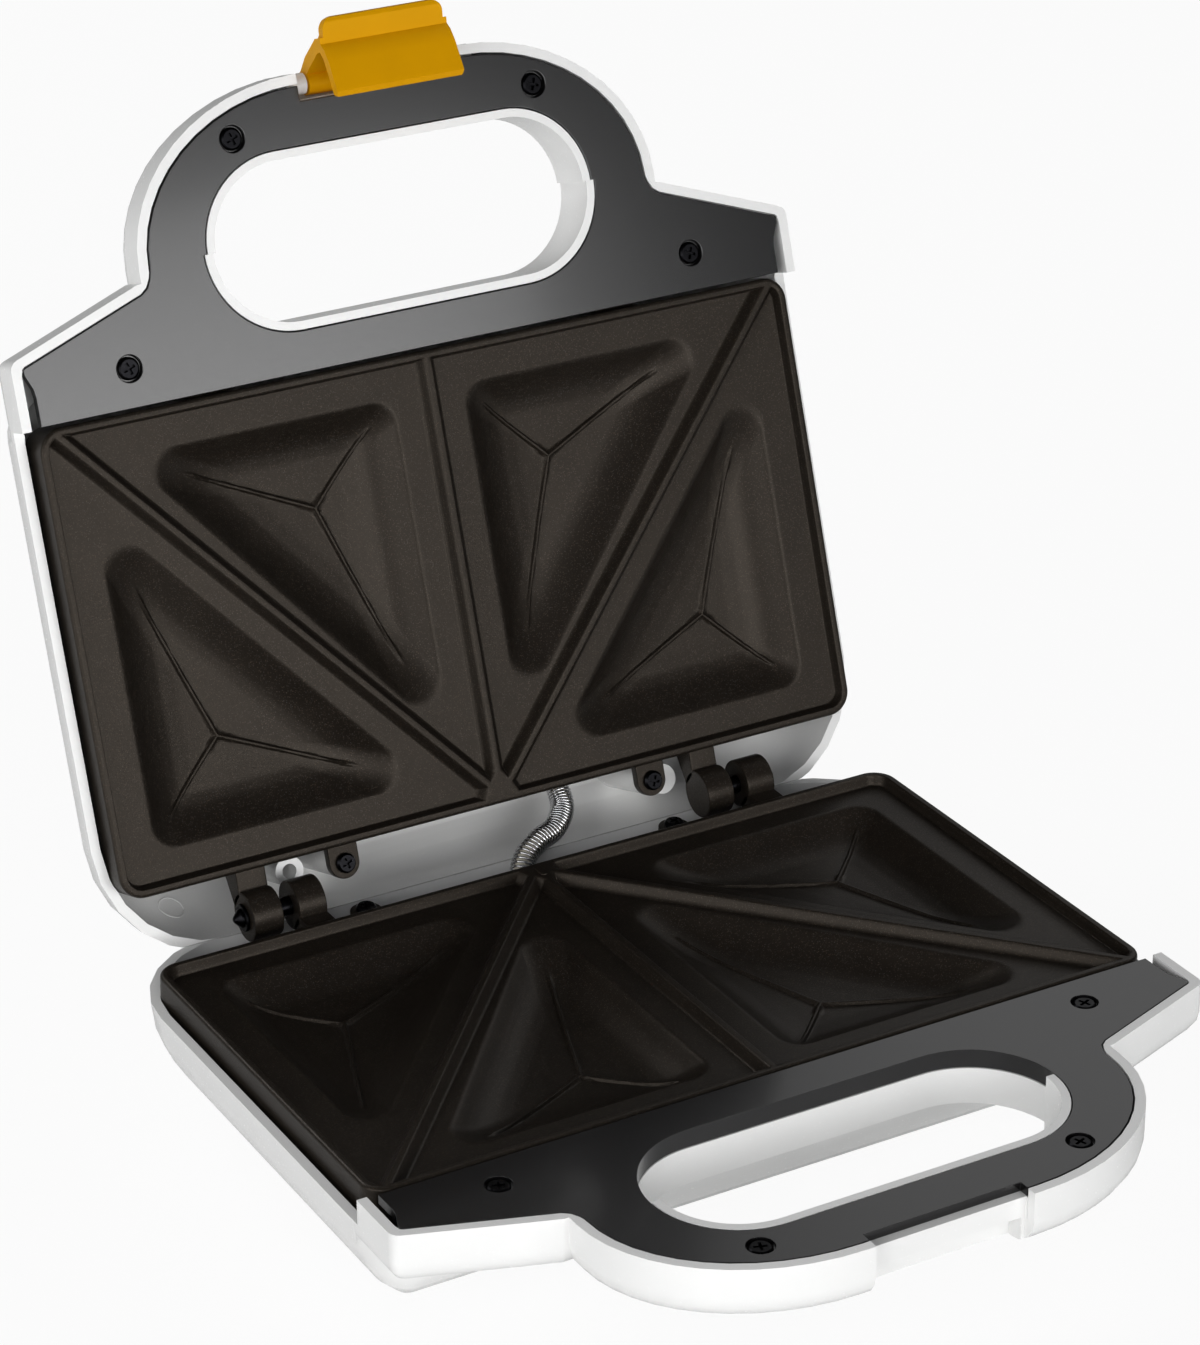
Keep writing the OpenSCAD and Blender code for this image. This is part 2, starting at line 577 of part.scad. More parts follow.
// One hinge knuckle with its arm to the plate's back wall
module knuckle(x, w) {
    arm_top = -0.6;
    translate([x - w / 2, hinge_y, hinge_z]) x_cylinder(0, w, knuckle_r);
    translate([x - w / 2, 0, 0]) rotate([90, 0, 90]) linear_extrude(w)
        polygon([[-1, -plate_wall_h + 3], [-1, arm_top], [hinge_y - 5, arm_top],
                 [hinge_y - 1.5, -knuckle_r + 1.2]]);
}
module plate_casting() {
    difference() {
        union() {
            difference() {
                translate([0, 0, -plate_wall_h]) linear_extrude(plate_wall_h) plate_2d(0);
                translate([0, 0, -land_drop]) linear_extrude(land_drop + 1) plate_2d(rim_w);
                translate([0, 0, -plate_wall_h - 1])
                    linear_extrude(plate_wall_h + 1 - land_drop - casting_t)
                        plate_2d(casting_t);
            }
            mirror_pair() {
                pocket(mid_pocket, 0.1, casting_t - 0.4, 0);
                pocket(side_pocket, 0.1, casting_t - 0.4, 0);
            }
            // ridges that cut and seal the sandwiches, and the web where they meet
            ridge([0, -plate_d + rim_w / 2], [0, -rim_w]);
            mirror_pair() ridge([half_w - plate_corner_r - 0.5, -plate_d + rim_w], [0, -4]);
            translate([0, 0, -land_drop - 0.5]) linear_extrude(land_drop + 0.5)
                polygon([[-5.5, -rim_w + 0.4], [-4.2, -5.6], [0, -10.5], [4.2, -5.6],
                         [5.5, -rim_w + 0.4]]);
            // screw lugs behind the plate
            mirror_pair() translate([lug_x, 0, -lug_top - lug_t]) linear_extrude(lug_t) {
                translate([0, lug_y]) circle(lug_r);
                translate([-lug_r, -1]) square([2 * lug_r, lug_y + 1]);
            }
            // front tongues that tuck under the handle cover
            mirror_pair() translate([54, -plate_d - 6, -tongue_drop - tongue_t])
                cube([12, 7, tongue_t]);
            // hinge knuckles: the outer one on the right, the inner one on the left
            knuckle(outer_knuckle_x, outer_knuckle_w);
            knuckle(-inner_knuckle_x, inner_knuckle_w);
            // bosses that carry the reflector sheet
            for (y = shield_spots) translate([0, -y, -shield_z])
                cylinder(h = shield_z - land_drop - 0.5, r = 3.6);
        }
        mirror_pair() {
            pocket(mid_pocket, 0, 0, 0.3);
            pocket(side_pocket, 0, 0, 0.3);
        }
        translate([0, hinge_y, hinge_z])
            x_cylinder(inner_knuckle_x, half_w, pin_r + run_fit);
        translate([0, hinge_y, hinge_z])
            x_cylinder(-inner_knuckle_x - inner_knuckle_w / 2 - 1,
                       -inner_knuckle_x + inner_knuckle_w / 2 - 1.6, pin_r + run_fit);
        mirror_pair() translate([lug_x, lug_y, -lug_top - lug_t - 1])
            cylinder(h = lug_t + 2, r = cover_shank_r + 0.2);
        for (y = shield_spots) translate([0, -y, -shield_z - 1])
            cylinder(h = 7, r = 1.2 + run_fit);
    }
    mirror_pair() for (t = [mid_pocket, side_pocket]) {
        for (k = [0 : 2]) rib(t, k);
        rib_hub(t);
    }
}
module lower_plate() {
    color("#2a2422") base_frame() plate_casting();
}
module upper_plate() {
    color("#2a2422") lid_frame() mirror([1, 0, 0]) plate_casting();
}

// ---- screws ----
// A pan head with a cross recess on a straight shank; the head's top is at z = 0
module screw(head_r, head_h, shank_r, length) {
    color("#26262a") difference() {
        union() {
            translate([0, 0, -head_h]) cylinder(h = head_h * 0.6, r = head_r);
            translate([0, 0, -head_h * 0.4])
                cylinder(h = head_h * 0.4, r1 = head_r, r2 = head_r * 0.8);
            translate([0, 0, -head_h - length]) cylinder(h = length + 0.2, r = shank_r);
        }
        for (a = [0, 90]) rotate([0, 0, a + 20])
            translate([-head_r * 0.55, -0.35, -0.9]) cube([head_r * 1.1, 0.7, 2]);
    }
}
module cover_screws() {
    at_screws(-0.2) screw(cover_head_r, 1.3, cover_shank_r, 9);
}
module plate_screws() {
    mirror_pair() translate([lug_x, lug_y, -lug_top + 1.5])
        screw(plate_head_r, 1.5, cover_shank_r, 10);
}
module shield_screws() {
    for (y = shield_spots) translate([0, -y, -shield_z - shield_t - 1.3]) mirror([0, 0, 1])
        screw(2.4, 1.3, 1.2, 6);
}
module lower_cover_screws() { base_frame() cover_screws(); }
module upper_cover_screws() { lid_frame() cover_screws(); }
module lower_plate_screws() { base_frame() plate_screws(); }
module upper_plate_screws() { lid_frame() plate_screws(); }
module lower_shield_screws() { base_frame() shield_screws(); }
module upper_shield_screws() { lid_frame() shield_screws(); }

// ---- heating ----
// A quarter bend of tube in plan; from turns anticlockwise
module plan_bend(x, y, from) {
    translate([x, y, 0]) rotate([0, 0, from]) rotate_extrude(angle = 90)
        translate([element_bend, 0]) circle(element_r);
}
module heating_element() {
    bend_x = element_x - element_bend;
    leg_bend = 5;
    run_y = element_y1 - element_y0 - 2 * element_bend;
    color("#4a4640") translate([0, 0, -element_z]) {
        mirror_pair() {
            plan_bend(bend_x, -element_y0 - element_bend, 0);
            plan_bend(bend_x, -element_y1 + element_bend, 270);
            translate([element_x, -element_y0 - element_bend, 0]) rotate([90, 0, 0])
                cylinder(h = run_y, r = element_r);
            translate([element_leg_x + leg_bend, -element_y0, 0])
                x_cylinder(0, bend_x - element_leg_x - leg_bend, element_r);
            // the ends turn away from the plate to their terminal pins
            translate([element_leg_x + leg_bend, -element_y0, -leg_bend]) rotate([90, 0, 0])
                rotate([0, 0, 90]) rotate_extrude(angle = 90) translate([leg_bend, 0])
                    circle(element_r);
            translate([element_leg_x, -element_y0, -element_leg_end + element_z])
                cylinder(h = element_leg_end - element_z - leg_bend, r = element_r);
            translate([element_leg_x, -element_y0, -element_leg_end + element_z - 5])
                cylinder(h = 6, r = 1.2);
        }
        translate([0, -element_y1, 0]) x_cylinder(-bend_x, bend_x, element_r);
    }
}
module heat_shield() {
    w = plate_w - 2 * casting_t - 5;
    y0 = element_y0 + element_r + 2;
    d = plate_d - y0 - casting_t - 2.5;
    color("#b9bcc0") difference() {
        translate([-w / 2, -y0 - d, -shield_z - shield_t]) union() {
            cube([w, d, shield_t]);
            for (x = [20, w - 21]) translate([x, 6, -1.2]) cube([1, d - 12, 1.3]);
        }
        for (y = shield_spots) translate([0, -y, -shield_z - 2]) cylinder(h = 4, r = 1.4);
    }
}
module lower_heating_element() { base_frame() heating_element(); }
module upper_heating_element() { lid_frame() heating_element(); }
module lower_heat_shield() { base_frame() heat_shield(); }
module upper_heat_shield() { lid_frame() heat_shield(); }

// ---- base details ----
module rubber_feet() {
    color("#202020") base_frame() for (p = foot_spots) translate([p[0], -p[1], -rim_z]) {
        difference() {
            cylinder(h = foot_h, r = foot_r);
            translate([0, 0, -1]) cylinder(h = 2.2, r = foot_r - 3);
        }
        translate([0, 0, foot_h - 0.2]) cylinder(h = 5.2, r = foot_stem_r);
    }
}
// A hinge pin with a pointed free end, drawn on the right side
module hinge_pin() {
    pin_end = outer_knuckle_x + outer_knuckle_w / 2 + 1.4;
    color("#2b2927") translate([0, hinge_y, hinge_z]) {
        x_cylinder(inner_knuckle_x - inner_knuckle_w / 2 + 1.7, pin_end, pin_r);
        translate([pin_end, 0, 0]) rotate([0, 90, 0]) cylinder(h = 1.8, r1 = pin_r, r2 = 0.6);
    }
}
module hinge_pin_right() { base_frame() hinge_pin(); }
module hinge_pin_left() { base_frame() mirror([1, 0, 0]) hinge_pin(); }

module cord_gland() {
    color("#1c1c1c") base_frame() translate([gland_x, gland_y, -gland_z]) rotate([90, 0, 0])
        difference() {
            union() {
                cylinder(h = gland_len, r = gland_bore_r + 2);
                translate([0, 0, -2]) cylinder(h = 2, r = gland_bore_r + 3.6);
            }
            translate([0, 0, -3]) cylinder(h = gland_len + 4, r = gland_bore_r);
        }
}
module cord_clamp() {
    color("#dedad0") base_frame() translate([gland_x, -clamp_y, -clamp_z]) difference() {
        translate([-12, -3.5, 0]) cube([24, 7, 3]);
        for (s = [-1, 1]) translate([s * clamp_screw_x, 0, -1]) cylinder(h = 6, r = 1.4);
    }
}
module cord_clamp_screws() {
    base_frame() for (s = [-1, 1])
        translate([gland_x + s * clamp_screw_x, -clamp_y, -clamp_z + 4.3])
            screw(2.4, 1.3, 1.2, 8);
}
module terminal_block() {
    color("#e8e4d8") base_frame() translate([block_x, -block_y, -floor_z + 2.2]) difference() {
        cube([block_w, block_d, 9]);
        for (k = [0 : 2]) translate([4 + 8 * k, 6, 4]) {
            cylinder(h = 6, r = 1.6);
            translate([0, 7, 0]) rotate([90, 0, 0]) cylinder(h = 14, r = 1.5);
        }
    }
}

// ---- wires ----
function smooth(a, b, c, d, t) =
    0.5 * ((2 * b) + (c - a) * t + (2 * a - 5 * b + 4 * c - d) * t * t
           + (3 * b - a - 3 * c + d) * t * t * t);
// Point at u spans along a smooth line through the given points
function along(p, u) =
    let (n = len(p) - 1, k = min(floor(u), n - 1))
    smooth(k > 0 ? p[k - 1] : 2 * p[0] - p[1], p[k], p[k + 1],
           k < n - 1 ? p[k + 2] : 2 * p[n] - p[n - 1], u - k);
function heading(p, u) =
    unit(along(p, min(u + 0.02, len(p) - 1)) - along(p, max(u - 0.02, 0)));
route_side = [0.6, -0.6, 0.5];
function axes_at(p, u) =
    let (t = heading(p, u), n = unit(cross(t, route_side))) [t, n, cross(t, n)];
// A tube of given sides swept through centres, each with its own two cross axes
module swept_tube(centres, firsts, seconds, r, sides) {
    loft([for (k = [0 : len(centres) - 1]) [for (i = [0 : sides - 1])
        centres[k] + r * cos(-360 * i / sides) * firsts[k]
                   + r * sin(-360 * i / sides) * seconds[k]]]);
}
// A round wire along points, with a number of rings
module wire(p, r, rings) {
    us = [for (k = [0 : rings]) (len(p) - 1) * k / rings];
    frames = [for (u = us) axes_at(p, u)];
    swept_tube([for (u = us) along(p, u)], [for (f = frames) f[1]], [for (f = frames) f[2]],
               r, 8);
}
wire_r = 1.1;
board_z = -floor_z + 9.6;       // upper side of the lamp board
low_z = -floor_z + 2.4;         // middle line of a wire that runs along the casing's floor
leg_end_z = -element_leg_end - 6.6;
fuse_x = 36;
fuse_y = 60;
fuse_z = -shield_z - shield_t - 2.3;
module lower_wiring() {
    y = -element_y0;
    color("#d9d2c4") base_frame() {
        wire([[element_leg_x, y, leg_end_z], [element_leg_x + 1.5, y - 4, low_z + 1.6],
              [block_x - 5, -16.5, low_z + 0.4], [block_x - 1, -18, low_z + 2]], wire_r, 8);
        wire([[-element_leg_x, y, leg_end_z], [-element_leg_x + 1, y - 6, low_z + 0.5],
              [0, -30, low_z], [block_x + 6, -33, low_z], [block_x + 12, -28, low_z + 1.5],
              [block_x + 12, -block_y - 1, low_z + 4]], wire_r, 16);
    }
}
module upper_wiring() {
    y = -element_y0;
    color("#d9d2c4") lid_frame() {
        wire([[element_leg_x, y, leg_end_z], [element_leg_x + 3, -13, -27.2],
              [fuse_x - 10, -24, -22.5], [fuse_x - 3, -37, -19], [fuse_x, -fuse_y + 11, fuse_z],
              [fuse_x, -fuse_y + 3.2, fuse_z]], wire_r, 12);
        wire([[-element_leg_x, y, leg_end_z], [-element_leg_x - 2, -14, low_z + 3],
              [-20.5, -34, low_z + 6], [-20.5, -50, -19]], wire_r, 10);
        wire([[-20.5, -74, -19], [-20.3, -77.5, board_z + 1.9], [-16.5, -lens_y + 2, board_z + 1.6],
              [-12, -lens_y, board_z + 1.5]], wire_r, 8);
        wire([link_head + [0, -0.8, -0.25], [25, -9.2, -20.8], [23.5, -14, low_z + 5],
              [18, -21, low_z + 0.2], [12, -36, low_z - 0.2], [9.5, -58, low_z + 4.5],
              [10.5, -74, board_z + 1.8], [12, -lens_y + 1, board_z + 1.6]], wire_r, 20);
    }
}

// The link lead's middle line, from inside the lid to inside the base, in the base's frame
link_points = [[25, 34.7, 9], [24.5, 30.6, 3.5], [23, 24.8, -0.6], [16.8, 18.4, -2.4],
               [10, 15.2, -3], [4.5, 12.4, -5.4], [1.2, 9, -10], [-0.5, 5.5, -16], link_foot];
route_spans = len(link_points) - 1;
// Points at equal steps along the route, from a fine table of its length
fine = [for (k = [0 : 160]) along(link_points, k * route_spans / 160)];
function running(k, total, out) =
    k > 160 ? out : let (t = total + norm(fine[k] - fine[k - 1])) running(k + 1, t,
        concat(out, [[t, k * route_spans / 160]]));
length_table = running(1, 0, [[0, 0]]);
route_length = length_table[160][0];
function u_at(s) = lookup(s, length_table);
sheath_turns = floor((route_length - 2) / sheath_pitch);
sheath_steps = sheath_turns * 8;
sheath_mid_r = sheath_r - sheath_wire / 2;
function coil_point(j) =
    let (s = 1 + j * sheath_pitch / 8, u = u_at(s), f = axes_at(link_points, u), a = 45 * j)
    along(link_points, u) + sheath_mid_r * (cos(a) * f[1] + sin(a) * f[2]);
coil = [for (j = [0 : sheath_steps]) coil_point(j)];
function coil_tangent(j) = unit(coil[min(j + 1, sheath_steps)] - coil[max(j - 1, 0)]);
coil_start = coil[0] - sheath_wire * coil_tangent(0);
coil_end = coil[sheath_steps] + sheath_wire * coil_tangent(sheath_steps);
coil_gap = min([for (j = [0 : sheath_steps - 6]) for (k = [6 : min(11, sheath_steps - j)])
                norm(coil[j + k] - coil[j])]) - sheath_wire;
module spring_sheath() {
    echo(spring_least_gap = coil_gap, turns = sheath_turns);
    tangents = concat([coil_tangent(0)], [for (j = [0 : sheath_steps]) coil_tangent(j)],
                      [coil_tangent(sheath_steps)]);
    centres = concat([coil_start], coil, [coil_end]);
    outs = concat([for (j = [0 : sheath_steps + 2])
        let (i = max(0, min(j - 1, sheath_steps)), s = 1 + i * sheath_pitch / 8,
             axis_point = along(link_points, u_at(s)), v = coil[i] - axis_point, t = tangents[j])
        unit(v - (v * t) * t)]);
    seconds = [for (j = [0 : len(centres) - 1]) cross(tangents[j], outs[j])];
    color("#c9cbce") base_frame() swept_tube(centres, outs, seconds, sheath_wire / 2, 6);
}
module link_lead() {
    n = 30;
    us = [for (k = [0 : n]) u_at(route_length * k / n)];
    frames = [for (u = us) axes_at(link_points, u)];
    color("#e6e3da") base_frame()
        swept_tube([for (u = us) along(link_points, u)], [for (f = frames) f[1]],
                   [for (f = frames) f[2]], lead_r, 8);
}

// ---- lid details ----
module thermostat() {
    color("#c8c4bc") lid_frame() translate([0, -62, -shield_z - shield_t]) {
        translate([-26, -9, -4]) cube([10, 18, 4]);
        translate([-21, 0, -9]) cylinder(h = 5.2, r = 5);
        for (y = [-11, 9]) translate([-22.5, y, -7.5]) cube([4, 2, 5]);
    }
}
module thermal_fuse() {
    // it lies against the reflector sheet
    color("#d8d8d4") lid_frame() translate([fuse_x, -fuse_y, -shield_z - shield_t - 2.3]) {
        rotate([90, 0, 0]) cylinder(h = 12, r = 2.2);
        translate([0, 3, 0]) rotate([90, 0, 0]) cylinder(h = 18, r = 0.6);
    }
}
module lamp_board() {
    color("#b79a5c") lid_frame() translate([0, -lens_y, -floor_z + 8]) difference() {
        translate([-30, -7, 0]) cube([60, 14, 1.6]);
        for (s = [-1, 1]) translate([s * board_screw_x, 0, -1]) cylinder(h = 4, r = 1.3);
    }
}
module lamp(x) {
    translate([x, -lens_y, -floor_z + 1.6]) {
        cylinder(h = 5.6, r = 2.4);
        for (s = [-1, 1]) translate([s, 0, 5]) cylinder(h = 1.4, r = 0.4);
    }
}
module lens(x) {
    translate([x, -lens_y, -shell_depth - 1.2]) {
        cylinder(h = 1.2, r = 4.4);
        cylinder(h = shell_t + 2.2, r = lens_stem_r);
    }
}
module power_lamp() { color("orange") lid_frame() lamp(lens_spots[0]); }
module ready_lamp() { color("orange") lid_frame() lamp(lens_spots[1]); }
module power_lens() { color("#c8281e") lid_frame() lens(lens_spots[0]); }
module ready_lens() { color("#2c9a45") lid_frame() lens(lens_spots[1]); }

// ---- latch ----
module latch_pin() {
    color("#c9cbce") lid_frame() translate([0, -latch_y, -latch_z])
        x_cylinder(-latch_pocket_x - 4.5, latch_pocket_x + 4.5, latch_pin_r);
}
// Side view of the clip about its pin: back leg, thumb tab, shoulder and hook leg
clip_side = [[-3, -1.2], [-6.6, 3.2], [-10.4, 10.4], [-11.6, 12], [-15.2, 12.4], [-15.9, 13.4],
             [-15.6, 14.6], [-14.4, 15], [-9.2, 14], [-7.6, 15.6], [-4.5, 17.2], [3.2, 19.6],
             [4.6, 18.6], [4.2, 17.2], [-5.4, 14.4], [-7.2, 12.9], [-7, 11], [-3.4, 4.4],
             [0.4, -1.2]];
module latch_clip() {
    tab_r = 3.4;        // rounding of the thumb tab's corners
    hook_r = 1.4;       // rounding of the hook leg's corners
    half = latch_w / 2;
    tab_half = half - 1;
    front = 15.9;
    shoulder = 10.8;
    back = 5;
    color("#f2a50c") lid_frame() translate([0, -latch_y, -latch_z]) difference() {
        intersection() {
            union() {
                x_cylinder(-latch_w / 2, latch_w / 2, latch_pin_r + 1.8);
                translate([-latch_w / 2, 0, 0]) rotate([90, 0, 90]) linear_extrude(latch_w)
                    polygon(clip_side);
            }
            translate([0, 0, -10]) linear_extrude(40) {
                translate([-tab_half, -front + tab_r]) square([2 * tab_half, front - tab_r]);
                translate([-tab_half + tab_r, -front]) square([2 * (tab_half - tab_r), front]);
                translate([-half, -shoulder]) square([2 * half, shoulder + back - hook_r]);
                translate([-half + hook_r, -shoulder])
                    square([2 * (half - hook_r), shoulder + back]);
                for (s = [-1, 1]) {
                    translate([s * (tab_half - tab_r), -front + tab_r]) circle(tab_r);
                    translate([s * (half - hook_r), back - hook_r]) circle(hook_r);
                }
            }
        }
        x_cylinder(-latch_w, latch_w, latch_pin_r + run_fit);
    }
}

lower_shell();
lower_handle_cover();
lower_plate();
lower_cover_screws();
lower_plate_screws();
lower_heating_element();
lower_heat_shield();
lower_shield_screws();
rubber_feet();
hinge_pin_left();
hinge_pin_right();
cord_gland();
cord_clamp();
cord_clamp_screws();
terminal_block();
lower_wiring();
spring_sheath();
link_lead();
upper_shell();
upper_handle_cover();
upper_plate();
upper_cover_screws();
upper_plate_screws();
upper_heating_element();
upper_heat_shield();
upper_shield_screws();
thermostat();
thermal_fuse();
lamp_board();
power_lamp();
ready_lamp();
power_lens();
ready_lens();
upper_wiring();
latch_pin();
latch_clip();
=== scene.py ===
"""A hinged sandwich toaster, open on a pale floor: its visual pieces, finishes, light and camera.

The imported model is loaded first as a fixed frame. Both halves of the toaster are drawn in the
half's own frame, in millimetres: x across, y back from the plate's back edge, z = 0 on the plate's
rim and the casing below it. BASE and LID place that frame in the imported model, in metres.
"""

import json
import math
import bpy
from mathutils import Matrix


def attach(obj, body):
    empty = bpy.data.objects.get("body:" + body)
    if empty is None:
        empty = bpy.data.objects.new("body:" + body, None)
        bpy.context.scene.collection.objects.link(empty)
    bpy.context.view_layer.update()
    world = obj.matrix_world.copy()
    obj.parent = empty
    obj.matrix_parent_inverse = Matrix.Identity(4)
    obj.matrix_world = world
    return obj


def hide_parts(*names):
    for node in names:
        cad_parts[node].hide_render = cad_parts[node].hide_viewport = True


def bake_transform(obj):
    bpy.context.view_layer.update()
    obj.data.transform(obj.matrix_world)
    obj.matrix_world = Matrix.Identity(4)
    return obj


bl_info = {
    "name": "Sandwich Toaster",
    "version": (1, 0, 0),
    "blender": (4, 5, 0),
    "location": "3D View > Sidebar > Toaster",
    "description": "Builds the pieces, finishes and stage of a hinged sandwich toaster",
    "category": "Add Mesh",
}

import bmesh
import bpy
import numpy as np
from bpy.props import FloatProperty, FloatVectorProperty, IntProperty, PointerProperty
from mathutils import Matrix, Vector
from mathutils.bvhtree import BVHTree
from mathutils.geometry import delaunay_2d_cdt

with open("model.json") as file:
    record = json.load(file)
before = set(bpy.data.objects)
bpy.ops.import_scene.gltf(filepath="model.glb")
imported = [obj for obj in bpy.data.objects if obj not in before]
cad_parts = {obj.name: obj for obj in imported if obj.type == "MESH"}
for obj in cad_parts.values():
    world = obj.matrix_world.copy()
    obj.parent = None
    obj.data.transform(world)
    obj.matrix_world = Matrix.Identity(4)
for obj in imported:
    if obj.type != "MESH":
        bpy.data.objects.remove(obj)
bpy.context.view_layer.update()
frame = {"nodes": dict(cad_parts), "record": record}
BODY_NODES = frame["record"]["behaviour"]["bodies"]

# ---- frames of the two halves ----
MM = 0.001
HINGE_Y, HINGE_Z = 11.5, 0.2
CENTRE_Y, RIM_Z = -54.776025, 40.0
LID_ANGLE = math.radians(108.1)
BASE = Matrix.Scale(MM, 4) @ Matrix.Translation((0, -CENTRE_Y, RIM_Z))
LID = (
    Matrix.Scale(MM, 4)
    @ Matrix.Translation((0, HINGE_Y - CENTRE_Y, RIM_Z + HINGE_Z))
    @ Matrix.Rotation(-LID_ANGLE, 4, "X")
    @ Matrix.Translation((0, -HINGE_Y, HINGE_Z))
    @ Matrix.Diagonal((1, 1, -1, 1))
)
HALVES = {"lower": (BASE, "base"), "upper": (LID, "lid")}


def linear(hex_colour):
    """Linear RGBA of an sRGB colour written as six hex digits."""
    parts = [int(hex_colour[i : i + 2], 16) / 255 for i in (0, 2, 4)]
    return tuple(c / 12.92 if c <= 0.04045 else ((c + 0.055) / 1.055) ** 2.4 for c in parts) + (1,)


# ---- sizes and colours that a user would change ----
class ToasterSizes(bpy.types.PropertyGroup):
    """Sizes of the visual detail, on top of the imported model's own sizes."""

    lip_softness: FloatProperty(
        name="Pocket lip softness",
        description="Rounding of a pocket's lip, as a share of the pocket's half width",
        default=0.018, min=0.005, max=0.05, subtype="FACTOR",
    )
    rib_height: FloatProperty(
        name="Rib height", description="Height of a pocket's Y rib above its floor",
        default=0.001, min=0.0002, max=0.0015, unit="LENGTH",
    )
    rim_round: FloatProperty(
        name="Rim rounding", description="Rounding of the plate's outer top edge",
        default=0.001, min=0.0003, max=0.002, unit="LENGTH",
    )
    casing_edge: FloatProperty(
        name="Casing edge", description="Rounding of the moulded casing's edges",
        default=0.0006, min=0.0002, max=0.001, unit="LENGTH",
    )
    cover_edge: FloatProperty(
        name="Cover edge", description="Rounding of the handle covers' edges",
        default=0.0004, min=0.0001, max=0.001, unit="LENGTH",
    )
    latch_edge: FloatProperty(
        name="Latch edge", description="Rounding of the latch clip's edges",
        default=0.0006, min=0.0002, max=0.001, unit="LENGTH",
    )
    spring_pitch: FloatProperty(
        name="Spring pitch", description="Distance between two turns of the sheath's spring",
        default=0.00105, min=0.0009, max=0.002, unit="LENGTH",
    )
    spring_wire: FloatProperty(
        name="Spring wire", description="Thickness of the sheath's spring wire",
        default=0.0007, min=0.0004, max=0.0008, unit="LENGTH",
    )
    pocket_rings: IntProperty(
        name="Pocket rings", description="Rings of faces from a pocket's middle to its lip",
        default=40, min=16, max=80,
    )


def colour(name, hex_colour):
    """A colour property with its default in linear light."""
    return FloatVectorProperty(
        name=name, description=f"Colour of the {name.lower()}", subtype="COLOR", size=4,
        min=0, max=1, default=linear(hex_colour),
    )


class ToasterColours(bpy.types.PropertyGroup):
    """Colours of the finishes."""

    casing: colour("Casing", "F3F3F2")
    cover: colour("Handle covers", "0E0D0E")
    coating: colour("Plate coating", "1B1713")
    coating_fleck: colour("Plate coating fleck", "57493C")
    latch: colour("Latch clip", "DA9B00")
    dark_steel: colour("Blackened screws", "18181A")
    rubber: colour("Rubber feet", "202021")
    floor: colour("Floor", "F4F4F4")


def sizes():
    return bpy.context.scene.toaster_sizes


def colours():
    return bpy.context.scene.toaster_colours


# ---- material tools ----
def add(tree, kind, values=None, links=None, **settings):
    """A shader node with its settings, its input values and its links."""
    made = tree.nodes.new(kind)
    for key, value in settings.items():
        setattr(made, key, value)
    for key, value in (values or {}).items():
        made.inputs[key].default_value = value
    for key, socket in (links or {}).items():
        tree.links.new(socket, made.inputs[key])
    return made


def start_material(name):
    """An empty node material, its tree and object coordinates in millimetres."""
    material = bpy.data.materials.new(name)
    material.use_nodes = True
    tree = material.node_tree
    tree.nodes.clear()
    place = add(tree, "ShaderNodeTexCoord").outputs["Object"]
    place = add(
        tree, "ShaderNodeVectorMath", {1: (1 / MM, 1 / MM, 1 / MM)}, {0: place},
        operation="MULTIPLY",
    ).outputs[0]
    return material, tree, place


def end_material(material, values, links):
    """Gives a material its shader and its output."""
    tree = material.node_tree
    shader = add(tree, "ShaderNodeBsdfPrincipled", values, links)
    add(tree, "ShaderNodeOutputMaterial", links={"Surface": shader.outputs[0]})
    return material


def vary(tree, pattern, low, high, at=(0.3, 0.7)):
    """A value, or a colour, that goes from low to high as a pattern goes over the span at."""
    coloured = isinstance(low, tuple)
    ends = (0, 1) if coloured else (low, high)
    level = add(
        tree, "ShaderNodeMapRange",
        {"From Min": at[0], "From Max": at[1], "To Min": ends[0], "To Max": ends[1]},
        {"Value": pattern},
    ).outputs[0]
    if coloured:
        mix = add(tree, "ShaderNodeMix", {6: low, 7: high}, {0: level}, data_type="RGBA")
        level = mix.outputs[2]
    return level


def shade(rgba, gain):
    """A colour made darker or lighter by a gain."""
    return tuple(min(1, c * gain) for c in rgba[:3]) + (1,)


def moulded_plastic(name, rgba, roughness, grain_mm=0.5, relief_mm=0.004, coat=0.0, uneven=0.04,
                    ior=1.53, gloss_tint=(1.0, 1.0, 1.0, 1.0), flow_mm=14):
    """Moulded plastic: even colour, a skin that is nearly mirror smooth but a little wavy."""
    material, tree, place = start_material(name)
    flow = add(
        tree, "ShaderNodeTexNoise", {"Scale": 1 / flow_mm}, {"Vector": place}
    ).outputs["Fac"]
    grain = add(
        tree, "ShaderNodeTexNoise", {"Scale": 1 / grain_mm, "Detail": 3}, {"Vector": place}
    ).outputs["Fac"]
    skin = add(
        tree, "ShaderNodeBump", {"Strength": 0.35, "Distance": relief_mm * MM}, {"Height": grain}
    )
    return end_material(
        material,
        {"IOR": ior, "Specular Tint": gloss_tint, "Coat Weight": coat, "Coat Roughness": 0.08},
        {
            "Base Color": vary(tree, flow, shade(rgba, 1 - uneven), shade(rgba, 1 + uneven)),
            "Roughness": vary(tree, grain, roughness * 0.85, roughness * 1.15),
            "Normal": skin.outputs[0],
        },
    )


